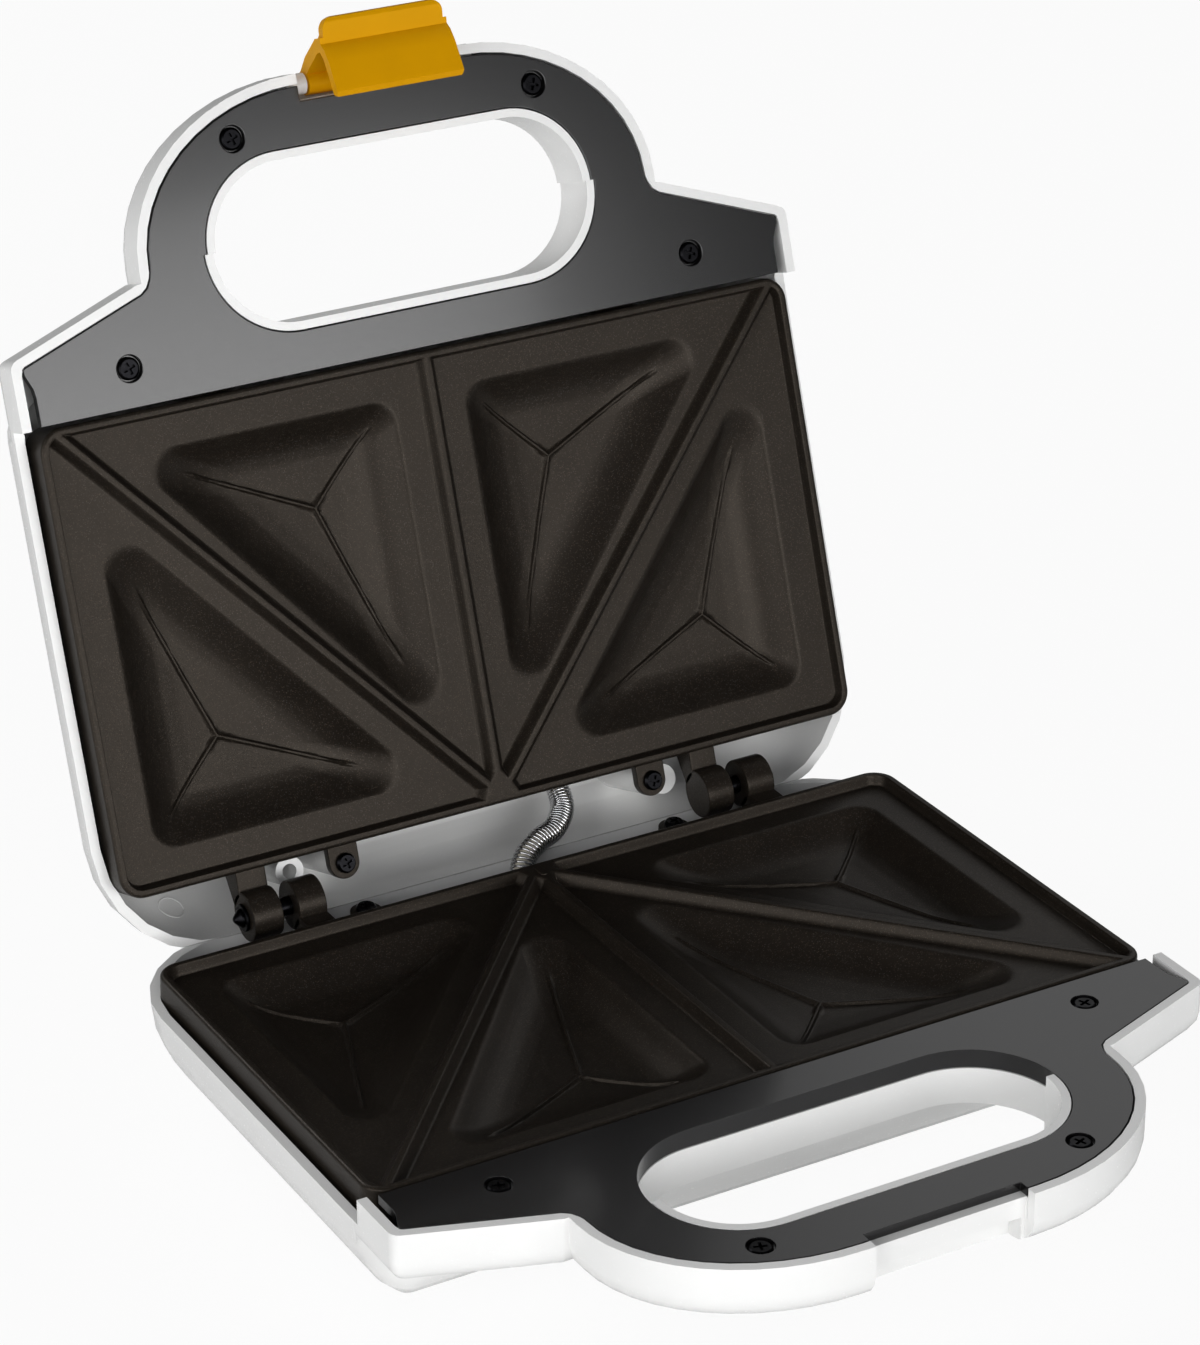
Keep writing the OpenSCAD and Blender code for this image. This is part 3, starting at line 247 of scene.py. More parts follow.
def ptfe_coating(name, base, fleck, fleck_mm=0.34, cloud_mm=9, peel_mm=0.32):
    """Sprayed PTFE on cast aluminium: dark brown-black satin with bronze flecks and orange peel.

    The flecks are really about 0.1 mm across. They are drawn at 0.3 mm, so that they show.
    """
    material, tree, place = start_material(name)
    cells = add(
        tree, "ShaderNodeTexVoronoi", {"Scale": 1 / fleck_mm, "Randomness": 1.0},
        {"Vector": place}, feature="F1",
    )
    parts = add(tree, "ShaderNodeSeparateColor", links={0: cells.outputs["Color"]})
    spots = add(
        tree, "ShaderNodeMath",
        links={
            0: vary(tree, cells.outputs["Distance"], 1, 0, (0.1, 0.5)),
            1: vary(tree, parts.outputs[0], 0, 1, (0.5, 1.0)),
        },
        operation="MULTIPLY",
    )
    grey = sum(fleck[:3]) / 3
    flecks = add(
        tree, "ShaderNodeMix", {6: fleck, 7: (grey, grey, grey * 0.95, 1)},
        {0: parts.outputs[1]}, data_type="RGBA",
    )
    cloud = add(
        tree, "ShaderNodeTexNoise", {"Scale": 1 / cloud_mm, "Detail": 3}, {"Vector": place}
    ).outputs["Fac"]
    ground = vary(tree, cloud, shade(base, 0.85), shade(base, 1.15))
    flecked = add(
        tree, "ShaderNodeMix", links={0: spots.outputs[0], 6: ground, 7: flecks.outputs[2]},
        data_type="RGBA",
    )
    peel = add(
        tree, "ShaderNodeTexNoise", {"Scale": 1 / peel_mm, "Detail": 3, "Roughness": 0.65},
        {"Vector": place},
    ).outputs["Fac"]
    skin = add(
        tree, "ShaderNodeBump", {"Strength": 0.9, "Distance": 0.06 * MM}, {"Height": peel}
    )
    return end_material(
        material,
        {"IOR": 1.42, "Specular IOR Level": 0.34, "Specular Tint": (1.0, 0.87, 0.74, 1.0)},
        {
            "Base Color": flecked.outputs[2],
            "Roughness": vary(tree, peel, 0.3, 0.44),
            "Normal": skin.outputs[0],
        },
    )


def metal(name, rgba, roughness, brushed_mm=None, uneven=0.12):
    """Bare metal: zinc, steel or aluminium, brushed along x where brushed_mm is given."""
    material, tree, place = start_material(name)
    if brushed_mm:
        place = add(
            tree, "ShaderNodeMapping", {"Scale": (0.04, 1, 1)}, {"Vector": place}
        ).outputs[0]
    grain = add(
        tree, "ShaderNodeTexNoise", {"Scale": 1 / (brushed_mm or 1.2), "Detail": 3},
        {"Vector": place},
    ).outputs["Fac"]
    skin = add(
        tree, "ShaderNodeBump", {"Strength": 0.25, "Distance": 0.01 * MM}, {"Height": grain}
    )
    return end_material(
        material,
        {"Metallic": 1.0},
        {
            "Base Color": vary(tree, grain, shade(rgba, 1 - uneven), shade(rgba, 1 + uneven)),
            "Roughness": vary(tree, grain, roughness * 0.8, roughness * 1.25),
            "Normal": skin.outputs[0],
        },
    )


def rubber(name, rgba, bloom_mm=2.5, grain_mm=0.3):
    """Moulded rubber: near black, dull, with a fine bloom."""
    material, tree, place = start_material(name)
    bloom = add(
        tree, "ShaderNodeTexNoise", {"Scale": 1 / bloom_mm, "Detail": 4}, {"Vector": place}
    ).outputs["Fac"]
    grain = add(
        tree, "ShaderNodeTexNoise", {"Scale": 1 / grain_mm}, {"Vector": place}
    ).outputs["Fac"]
    skin = add(
        tree, "ShaderNodeBump", {"Strength": 0.4, "Distance": 0.02 * MM}, {"Height": grain}
    )
    return end_material(
        material,
        {"IOR": 1.52},
        {
            "Base Color": vary(tree, bloom, rgba, shade(rgba, 1.8)),
            "Roughness": vary(tree, bloom, 0.75, 0.9),
            "Normal": skin.outputs[0],
        },
    )


def sleeving(name, rgba, thread_mm=0.35):
    """Braided glass-fibre sleeve: pale thread crossing at a fine pitch, matt."""
    material, tree, place = start_material(name)
    waves = {}
    for i, turn in enumerate((0.785, -0.785)):
        turned = add(
            tree, "ShaderNodeMapping", {"Rotation": (turn, turn, turn)}, {"Vector": place}
        )
        waves[i] = add(
            tree, "ShaderNodeTexWave", {"Scale": 0.31 / thread_mm, "Distortion": 0.4},
            {"Vector": turned.outputs[0]},
        ).outputs["Fac"]
    weave = add(tree, "ShaderNodeMath", links=waves, operation="MAXIMUM").outputs[0]
    paint = add(
        tree, "ShaderNodeMix", {6: shade(rgba, 0.72), 7: rgba}, {0: weave}, data_type="RGBA"
    )
    skin = add(
        tree, "ShaderNodeBump", {"Strength": 0.5, "Distance": 0.08 * MM}, {"Height": weave}
    )
    return end_material(
        material, {"Roughness": 0.8}, {"Base Color": paint.outputs[2], "Normal": skin.outputs[0]}
    )


def tinted_polycarbonate(name, rgba, roughness=0.12):
    """Clear moulded polycarbonate with dye in it, faintly ribbed inside."""
    material, tree, place = start_material(name)
    ribs = add(
        tree, "ShaderNodeTexWave", {"Scale": 0.5, "Distortion": 0.2}, {"Vector": place}
    ).outputs["Fac"]
    paint = add(
        tree, "ShaderNodeMix", {6: shade(rgba, 0.8), 7: rgba}, {0: ribs}, data_type="RGBA"
    )
    skin = add(
        tree, "ShaderNodeBump", {"Strength": 0.3, "Distance": 0.05 * MM}, {"Height": ribs}
    )
    return end_material(
        material,
        {"Roughness": roughness, "IOR": 1.58, "Transmission Weight": 0.6},
        {"Base Color": paint.outputs[2], "Normal": skin.outputs[0]},
    )


FINISHES = {}


def finish(name):
    """The finish of that name, made once."""
    if name in FINISHES:
        return FINISHES[name]
    own = colours()
    recipes = {
        # glossy white ABS: bright, with soft clear highlights
        "white_abs": lambda: moulded_plastic(
            name, tuple(own.casing), 0.24, 0.6, 0.003, uneven=0.01
        ),
        # polished black ABS: almost all of what shows is reflection
        "black_abs": lambda: moulded_plastic(name, tuple(own.cover), 0.21, 0.4, 0.003, coat=0.2),
        # sprayed PTFE: a dark satin that glitters a little at a low angle
        "ptfe": lambda: ptfe_coating(name, tuple(own.coating), tuple(own.coating_fleck)),
        # blackened steel: dark sheen, its tone varying a little at random
        "black_steel": lambda: metal(name, tuple(own.dark_steel), 0.3),
        # zinc-plated steel: pale and bright, with fine turning marks
        "zinc_steel": lambda: metal(name, linear("C9CACC"), 0.28, 0.3),
        # acetal: an even, slightly waxy orange-yellow
        "acetal": lambda: moulded_plastic(
            name, tuple(own.latch), 0.46, 0.5, 0.005, uneven=0.03, ior=1.4,
            gloss_tint=(1.0, 0.62, 0.15, 1.0),
        ),
        # moulded rubber: near black and dull
        "rubber": lambda: rubber(name, tuple(own.rubber)),
        # drawn spring wire: bright, hard highlights
        "spring_wire": lambda: metal(name, linear("D8D8DA"), 0.18, uneven=0.06),
        # braided glass-fibre sleeve: warm white and matt
        "glass_sleeve": lambda: sleeving(name, linear("E4DECF")),
        # sheathed element: heat-tinted stainless tube
        "element_steel": lambda: metal(name, linear("6E6256"), 0.45, uneven=0.35),
        # rolled aluminium sheet: pale, with the rolling's grain
        "bright_aluminium": lambda: metal(name, linear("D4D6D8"), 0.3, 0.4),
        # moulded nylon: creamy white or black, with a dull sheen
        "nylon": lambda: moulded_plastic(name, linear("DAD5C7"), 0.5, 0.5, 0.01),
        "black_nylon": lambda: moulded_plastic(name, linear("1C1C1D"), 0.55, 0.5, 0.015),
        # unglazed steatite: chalky and faintly blotched
        "ceramic": lambda: moulded_plastic(name, linear("D9D2C2"), 0.6, 0.8, 0.03, uneven=0.06),
        # phenolic board: brown, mottled by its paper
        "laminate": lambda: moulded_plastic(name, linear("B38D4D"), 0.5, 0.7, 0.01, uneven=0.12),
        # neon lamp's glass, and the dyed lenses over the lamps: clear, with the colour inside
        "neon_glass": lambda: tinted_polycarbonate(name, linear("F2A56B"), 0.05),
        "red_lens": lambda: tinted_polycarbonate(name, linear("C2231B")),
        "green_lens": lambda: tinted_polycarbonate(name, linear("1E8F3C")),
    }
    FINISHES[name] = recipes[name]()
    return FINISHES[name]


# ---- mesh tools ----
WELD = 2e-6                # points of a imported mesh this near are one, in metres
FLAT_ANGLE = 0.6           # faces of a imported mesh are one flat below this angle, in degrees
EDGE_ANGLE = 30            # edges sharper than this are rounded, in degrees
COPY_SMOOTH = 32           # a rounded copy is shaded smooth below this angle, in degrees


def put_object(name, data):
    """A new object of the data, in the scene."""
    made = bpy.data.objects.new(name, data)
    bpy.context.scene.collection.objects.link(made)
    return made


def keep_half_piece(bm, name, half, finish_name, nodes):
    """Turns a mesh in a half's frame into a piece that rides on that half's body."""
    matrix, body = HALVES[half]
    bmesh.ops.remove_doubles(bm, verts=bm.verts, dist=1e-4)
    bm.transform(matrix)
    if matrix.determinant() < 0:
        bmesh.ops.reverse_faces(bm, faces=bm.faces)
    return keep_piece(bm, name, finish_name, nodes, body)


def keep_piece(bm, name, finish_name, nodes, body, smooth=40, weighted=True):
    """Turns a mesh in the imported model's frame into a piece, smooth below that edge angle."""
    mesh = bpy.data.meshes.new(name)
    for face in bm.faces:
        face.smooth = True
    for edge in bm.edges:
        edge.smooth = len(edge.link_faces) == 2 and edge.calc_face_angle(0) < math.radians(smooth)
    bm.to_mesh(mesh)
    bm.free()
    piece = put_object(name, mesh)
    mesh.materials.append(finish(finish_name))
    if weighted:
        modifier = piece.modifiers.new("even_normals", "WEIGHTED_NORMAL")
        modifier.keep_sharp = True
        bake_modifiers(piece)
    if body:
        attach(piece, body)
    if nodes:
        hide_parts(*nodes)
    return piece


def bake_modifiers(piece):
    """Applies a piece's modifiers to its mesh."""
    graph = bpy.context.evaluated_depsgraph_get()
    graph.update()
    mesh = bpy.data.meshes.new_from_object(piece.evaluated_get(graph))
    piece.modifiers.clear()
    piece.data = mesh


def merge_into(target, source):
    """Adds one mesh to another."""
    mesh = bpy.data.meshes.new("joined")
    source.to_mesh(mesh)
    source.free()
    target.from_mesh(mesh)
    bpy.data.meshes.remove(mesh)


def amend(piece, change):
    """Changes a piece's mesh in place by a function of its bmesh."""
    bm = bmesh.new()
    bm.from_mesh(piece.data)
    change(bm)
    bm.to_mesh(piece.data)
    bm.free()


def prism(outline, low, high, axis, edge):
    """A closed prism with softened edges. Its outline is (x, y) along z, or (y, z) along x."""
    bm = bmesh.new()
    if axis == "z":
        ring = [bm.verts.new((a, b, low)) for a, b in outline]
        step = Vector((0, 0, high - low))
    else:
        ring = [bm.verts.new((low, a, b)) for a, b in outline]
        step = Vector((high - low, 0, 0))
    cap = bm.faces.new(ring)
    moved = bmesh.ops.extrude_face_region(bm, geom=[cap])["geom"]
    moved = [item for item in moved if isinstance(item, bmesh.types.BMVert)]
    bmesh.ops.translate(bm, vec=step, verts=moved)
    bmesh.ops.recalc_face_normals(bm, faces=bm.faces)
    sharp = [e for e in bm.edges if e.calc_face_angle(0) > math.radians(EDGE_ANGLE)]
    bmesh.ops.bevel(
        bm, geom=sharp, offset=edge, segments=2, profile=0.5, affect="EDGES", clamp_overlap=True
    )
    return bm


def disc_outline(x, y, radius, steps=48, start=0.0, sweep=360.0):
    """Points round a circle, or part of one."""
    whole = sweep >= 360
    angles = np.radians(start + sweep * np.arange(steps + (not whole)) / steps)
    return [(x + radius * math.cos(a), y + radius * math.sin(a)) for a in angles]


def soft_copy(node, name, finish_name, edge, segments=2):
    """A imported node's form with its moulded or cut edges rounded. It replaces the node."""
    bm = bmesh.new()
    bm.from_mesh(frame["nodes"][node].data)
    bmesh.ops.remove_doubles(bm, verts=bm.verts, dist=WELD)
    bmesh.ops.dissolve_limit(
        bm, angle_limit=math.radians(FLAT_ANGLE), verts=bm.verts, edges=bm.edges,
        delimit={"SHARP"},
    )
    mesh = bpy.data.meshes.new(name)
    bm.to_mesh(mesh)
    bm.free()
    piece = put_object(name, mesh)
    bevel = piece.modifiers.new("edges", "BEVEL")
    bevel.limit_method = "ANGLE"
    bevel.angle_limit = math.radians(EDGE_ANGLE)
    bevel.width = edge
    bevel.segments = segments
    bevel.miter_outer = "MITER_ARC"
    bake_modifiers(piece)
    made = bmesh.new()
    made.from_mesh(piece.data)
    bpy.data.objects.remove(piece)
    body = next(b for b, nodes in BODY_NODES.items() if node in nodes)
    return keep_piece(made, name, finish_name, [node], body, COPY_SMOOTH)


# ---- the cast plates ----
# Half width, depth from back to front, height of the outer wall, and rounding of the corners
HALF_W, PLATE_D, PLATE_WALL, CORNER_R = 110.0, 122.5, 12.5, 6.5
LAND, CASTING = -3.0, 2.6  # height of the face between the ridges, and the casting's thickness
# Depth of a pocket below the face, rounding of its corners, and the corners of the right half's
# two pockets before rounding
POCKET_FALL, POCKET_CORNER = 7.2, 6.5
POCKETS = {
    "middle": np.array([(10.7, -111.2), (86.3, -111.2), (10.7, -19.8)]),
    "side": np.array([(97.5, -99.5), (97.5, -10.6), (20.0, -10.6)]),
}
# Floor of a pocket: share of its outline, and share of its depth
DISH = np.array(
    [(0, 1), (0.03, 1), (0.35, 0.97), (0.55, 0.91), (0.68, 0.8), (0.78, 0.63), (0.87, 0.4),
     (0.94, 0.18), (1, 0), (1.2, 0)]
)
LIP_REACH = 1.05           # share of the outline where a pocket's lip has run out to the face
# Side of a ridge: distance out from its flat top, and height
RIDGE_SIDE = np.array(
    [(-9, 0), (0, 0), (0.25, -0.06), (0.55, -0.38), (0.9, -1.05), (1.4, -2.0), (1.75, -2.6),
     (2.1, -2.9), (2.5, -3.0), (99, -3.0)]
)
RIDGE_TOP = 0.6            # half width of a ridge's flat top
RIM_TOP = 1.95             # width of the rim's flat top
RIM_STEEP = 2.2            # the rim's inner wall is this much steeper than a ridge
# Lines of the rim's rounded outer edge, as shares of the rounding's width
ROUNDING_RINGS = (0, 0.06, 0.2, 0.42, 0.7, 1.0)
RIB_HALF = 0.85            # half width of a pocket's Y rib at the pocket's middle
RIB_TAPER = 0.4            # share of its width that the rib loses by the tip
RIB_SINK = 0.5             # share of its height that the rib loses by the tip
RIB_SLOPE = 0.7            # share of its half width that slopes
RIB_END, RIB_FADE = 0.84, 0.12  # share of an arm where the rib has run out, and over which
# Outline where the ridges meet the back rim, how far inside it the flat top ends, and the
# furthest back that its lines run
HUB = [(-5.2, 1), (-5.2, -2.2), (-3.6, -5.4), (0, -10.2), (3.6, -5.4), (5.2, -2.2), (5.2, 1)]
HUB_INSET, HUB_BACK = 0.3, -0.4
# Hinge knuckles: middle across and width of each, and the side outline of a knuckle's arm
KNUCKLE_R, KNUCKLE_EDGE = 6.6, 0.5
OUTER_KNUCKLE = (74.3, 8.4)
KNUCKLES = (OUTER_KNUCKLE, (-61.7, 8.0))
ARM = [
    (-1, -PLATE_WALL + 3), (HINGE_Y - 1.5, -KNUCKLE_R + 1.2), (HINGE_Y - 5, -0.6), (-1, -0.6),
]
# Screw lugs behind the plate, tongues ahead of it, and bosses for the reflector's screws
LUG_X, LUG_Y, LUG_R, LUG_TOP, LUG_THICK = 46.6, 5.2, 4.3, -3.4, 3
TONGUE_X, TONGUE_HALF, TONGUE_REACH, TONGUE_Z = 60, 6, 6, (-8.4, -5.8)
BOSS_SPOTS, BOSS_R, BOSS_REACH, BOSS_SINK = (36, 100), 3.6, 0.8, 0.5
FITTING_EDGE, BOSS_EDGE = 0.4, 0.3
SEAT = 1                   # how far a fitting is sunk into the casting
UNDER_GAP = 0.35           # the underside's hollow starts this much inside the wall
PLATE_WELD = 2e-3          # points of the face and the pockets this near are one
# Small raised pill where the base plate's ridges meet
PILL_R, PILL_ENDS, PILL_TOP, PILL_EDGE = 1.1, (-2.9, -6.3), 0.3, 0.2


def incentre(corners):
    """Incentre of a triangle."""
    a, b, c = (np.linalg.norm(corners[i - 2] - corners[i - 1]) for i in range(3))
    return (a * corners[0] + b * corners[1] + c * corners[2]) / (a + b + c)


def pocket_outline(corners, arc_steps=30, edge_steps=10):
    """Outline of a pocket with rounded corners, and the index of each corner's middle point."""
    points, mids = [], []
    for i in range(3):
        before = corners[i] - corners[i - 1]
        after = corners[(i + 1) % 3] - corners[i]
        before, after = before / np.linalg.norm(before), after / np.linalg.norm(after)
        n1, n2 = np.array([-before[1], before[0]]), np.array([-after[1], after[0]])
        bisector = (n1 + n2) / np.linalg.norm(n1 + n2)
        centre = corners[i] + bisector * POCKET_CORNER / (bisector @ n1)
        a1 = math.atan2(-n1[1], -n1[0])
        turn = (math.atan2(-n2[1], -n2[0]) - a1) % (2 * math.pi)
        mids.append(len(points) + arc_steps // 2)
        for k in range(arc_steps + 1):
            a = a1 + turn * k / arc_steps
            points.append(centre + POCKET_CORNER * np.array([math.cos(a), math.sin(a)]))
        points.append(None)
    filled = []
    for k, point in enumerate(points):
        if point is not None:
            filled.append(point)
            continue
        start, end = points[k - 1], points[(k + 1) % len(points)]
        filled += [start + (end - start) * j / edge_steps for j in range(1, edge_steps)]
    shift = edge_steps - 2
    return np.array(filled), [m + i * shift for i, m in enumerate(mids)]


def smooth_step(t):
    """Eases a share from 0 to 1 at both ends."""
    return t * t * (3 - 2 * t)


def dish_share(softness, step=0.002, reach=60):
    """Function of the outline's share that gives the pocket's fall, with a softened lip."""
    grid = np.arange(-0.2, 1.3, step)
    raw = np.interp(np.abs(grid), DISH[:, 0], DISH[:, 1])
    kernel = np.exp(-0.5 * (np.arange(-reach, reach + 1) * step / softness) ** 2)
    soft = np.convolve(raw, kernel / kernel.sum(), mode="same")
    soft -= np.interp(LIP_REACH, grid, soft)
    return lambda s: np.interp(s, grid, np.maximum(soft, 0))


def pocket_mesh(bm, corners, flip, rings, share, rib_h):
    """One pocket from its middle to its lip, with the Y rib raised on its floor."""
    outline, mids = pocket_outline(corners)
    middle = incentre(corners)
    tips = [outline[m] - middle for m in mids]
    # the rings lie closer together from 0.8 of the outline on, where the wall turns to the lip
    shares = np.concatenate([[0.012], np.linspace(0.03, 0.8, rings - 16)[:-1],
                             np.linspace(0.8, LIP_REACH, 17)])
    turn = -1 if flip else 1

    def height(points, s):
        fall = -POCKET_FALL * share(s) + LAND
        rise = np.zeros(len(points))
        for tip in tips:
            reach = np.linalg.norm(tip)
            d = tip / reach
            t = points @ d
            q = np.abs(points @ np.array([-d[1], d[0]]))
            q = np.where(t < 0, np.linalg.norm(points, axis=1), q)
            along = np.clip(t / reach, 0, 1)
            w = RIB_HALF * (1 - RIB_TAPER * along)
            edge = smooth_step(np.clip((w - q) / (w * RIB_SLOPE), 0, 1))
            fade = smooth_step(np.clip((RIB_END - along) / RIB_FADE, 0, 1))
            rise = np.maximum(rise, rib_h * (1 - RIB_SINK * along) * edge * fade)
        return fall + rise

    hub = bm.verts.new((turn * middle[0], middle[1], float(height(np.zeros((1, 2)), 0.0)[0])))
    last = None
    for s in shares:
        points = (outline - middle) * s
        zs = height(points, s)
        ring = [
            bm.verts.new((turn * (middle[0] + p[0]), middle[1] + p[1], z))
            for p, z in zip(points, zs)
        ]
        n = len(ring)
        for i in range(n):
            j = (i + 1) % n
            face = [hub, ring[i], ring[j]]
            if last is not None:
                face = [last[i], ring[i], ring[j], last[j]]
            bm.faces.new(face[::turn])
        last = ring


def rounded_rectangle(inset, steps=12, least_r=1.2):
    """Plate outline, drawn in by inset."""
    r = max(CORNER_R - inset, least_r)
    x, y0, y1 = HALF_W - inset - r, -inset - r, -PLATE_D + inset + r
    points = []
    for cx, cy, a0 in ((x, y0, 0), (-x, y0, 90), (-x, y1, 180), (x, y1, 270)):
        points += disc_outline(cx, cy, r, steps, a0, 90)
    return points


def depth_inside(points):
    """Distance of each point inward from the plate's outline."""
    q = np.abs(points - np.array([0, -PLATE_D / 2])) - (
        np.array([HALF_W, PLATE_D / 2]) - CORNER_R
    )
    return CORNER_R - (
        np.linalg.norm(np.maximum(q, 0), axis=1) + np.minimum(np.maximum(q[:, 0], q[:, 1]), 0)
    )


# Centre lines of the ridges: one straight to the front, and one to each front corner
RIDGES = [
    ((0, 0.5), (0, -PLATE_D)),
    ((0, -2.2), (HALF_W - 4.4, -PLATE_D + 1.2)),
    ((0, -2.2), (-HALF_W + 4.4, -PLATE_D + 1.2)),
]


def line_distance(points, a, b):
    """Distance of each point from the line between a and b."""
    a, b = np.array(a, float), np.array(b, float)
    d = b - a
    t = np.clip((points - a) @ d / (d @ d), 0, 1)
    return np.linalg.norm(points - a - t[:, None] * d, axis=1)


def hub_distance(points):
    """Signed distance from the diamond where the ridges meet the back rim."""
    inside = np.full(len(points), -99.0)
    n = len(HUB)
    for i in range(n):
        a, b = np.array(HUB[i], float), np.array(HUB[(i + 1) % n], float)
        d = (b - a) / np.linalg.norm(b - a)
        inside = np.maximum(inside, (points - a) @ np.array([-d[1], d[0]]) * -1)
    return inside


def land_height(points, rim_round):
    """Height of the plate's face outside the pockets."""
    depth = depth_inside(points)
    rim = np.interp((depth - RIM_TOP) * RIM_STEEP, RIDGE_SIDE[:, 0], RIDGE_SIDE[:, 1])
    ridge = np.full(len(points), LAND)
    for a, b in RIDGES:
        away = line_distance(points, a, b) - RIDGE_TOP
        ridge = np.maximum(ridge, np.interp(away, RIDGE_SIDE[:, 0], RIDGE_SIDE[:, 1]))
    hub = np.interp(hub_distance(points) + HUB_INSET, RIDGE_SIDE[:, 0], RIDGE_SIDE[:, 1])
    ridge = np.maximum(ridge, hub)
    top = np.maximum(np.maximum(rim, ridge), LAND)
    rounding = np.clip(rim_round - depth, 0, rim_round)
    return top - (rim_round - np.sqrt(np.maximum(rim_round**2 - rounding**2, 0)))


def offset_loop(outline, away):
    """A convex outline, given clockwise, moved outward by away."""
    points = []
    n = len(outline)
    for i in range(n):
        p0, p1, p2 = (np.array(outline[(i + k - 1) % n], float) for k in range(3))
        d1, d2 = (p1 - p0) / np.linalg.norm(p1 - p0), (p2 - p1) / np.linalg.norm(p2 - p1)
        n1, n2 = np.array([d1[1], -d1[0]]), np.array([d2[1], -d2[0]])
        bisector = (n1 + n2) / np.linalg.norm(n1 + n2)
        points.append(tuple(p1 + bisector * away / (bisector @ n1)))
    return points


def plate_face(holes, rim_round):
    """Triangles of the plate's face outside the pockets, cut along every line of its relief."""
    points, edges = [], []

    def loop(ring):
        first = len(points)
        points.extend(Vector(p) for p in ring)
        n = len(ring)
        edges.extend((first + i, first + (i + 1) % n) for i in range(n))

    def line(a, b):
        points.extend((Vector(a), Vector(b)))
        edges.append((len(points) - 2, len(points) - 1))

    for share_in in ROUNDING_RINGS:
        loop(rounded_rectangle(share_in * rim_round))
    for away in RIDGE_SIDE[1:-1, 0]:
        loop(rounded_rectangle(RIM_TOP + away / RIM_STEEP))
    for a, b in RIDGES:
        d = Vector((b[0] - a[0], b[1] - a[1])).normalized()
        n = Vector((-d[1], d[0]))
        for away in RIDGE_SIDE[1:-1, 0]:
            for side in (-1, 1):
                shift = n * side * (away + RIDGE_TOP)
                line(Vector(a) + shift, Vector(b) + shift)
    for away in RIDGE_SIDE[1:-1, 0]:
        ring = [(x, min(y, HUB_BACK)) for x, y in offset_loop(HUB, away - HUB_INSET)]
        for a, b in zip(ring[1:-1], ring[2:-1] + [ring[-1]]):
            line(a, b)
    for ring in holes:
        loop(ring)
    verts, _, faces, *_ = delaunay_2d_cdt(points, edges, [], 0, 1e-5)
    plane = np.array([(v[0], v[1]) for v in verts])
    centres = np.array([plane[list(f)].mean(0) for f in faces])
    inside = depth_inside(centres) > 1e-6
    for ring in holes:
        inside &= ~inside_polygon(centres, np.array(ring))
    kept = [f for f, ok in zip(faces, inside) if ok]
    return plane, kept


def inside_polygon(points, ring):
    """Even-odd test of many points against one ring."""
    x, y = points[:, 0], points[:, 1]
    result = np.zeros(len(points), bool)
    for (x0, y0), (x1, y1) in zip(ring, np.roll(ring, -1, axis=0)):
        if y0 == y1:
            continue
        crosses = ((y0 > y) != (y1 > y)) & (x < (x1 - x0) * (y - y0) / (y1 - y0) + x0)
        result ^= crosses
    return result


def plate_mesh():
    """The whole casting: face, pockets, walls, hollow underside and fittings."""
    own = sizes()
    share = dish_share(own.lip_softness)
    rim_round = own.rim_round / MM
    holes = []
    for corners in POCKETS.values():
        outline, _ = pocket_outline(corners)
        middle = incentre(corners)
        ring = middle + (outline - middle) * LIP_REACH
        holes += [[(x, y) for x, y in ring], [(-x, y) for x, y in ring]]
    plane, faces = plate_face(holes, rim_round)
    heights = land_height(plane, rim_round)
    bm = bmesh.new()
    top = [bm.verts.new((x, y, z)) for (x, y), z in zip(plane, heights)]
    for f in faces:
        bm.faces.new([top[i] for i in f])
    for corners in POCKETS.values():
        for flip in (False, True):
            pocket_mesh(bm, corners, flip, own.pocket_rings, share, own.rib_height / MM)
    bmesh.ops.remove_doubles(bm, verts=bm.verts, dist=PLATE_WELD)
    loose = [v for v in bm.verts if not v.link_faces]
    bmesh.ops.delete(bm, geom=loose, context="VERTS")
    bmesh.ops.recalc_face_normals(bm, faces=bm.faces)
    if sum(f.normal.z for f in bm.faces) < 0:
        bmesh.ops.reverse_faces(bm, faces=bm.faces)
    # the hollow underside follows the face, one wall thickness lower
    under = bm.copy()
    cut = CASTING + UNDER_GAP
    inner = [
        f for f in under.faces
        if depth_inside(np.array([f.calc_center_median()[:2]]))[0] < cut
    ]
    bmesh.ops.delete(under, geom=inner, context="FACES")
    for v in under.verts:
        v.co.z = min(v.co.z, LAND) - CASTING
    bmesh.ops.reverse_faces(under, faces=under.faces)
    wall_down(under, -PLATE_WALL)
    wall_down(bm, -PLATE_WALL)
    merge_into(bm, under)
    low = [e for e in bm.edges if len(e.link_faces) == 1]
    bmesh.ops.triangle_fill(bm, use_beauty=True, edges=low, normal=(0, 0, -1))
    bmesh.ops.recalc_face_normals(bm, faces=bm.faces)
    add_fittings(bm)
    return bm


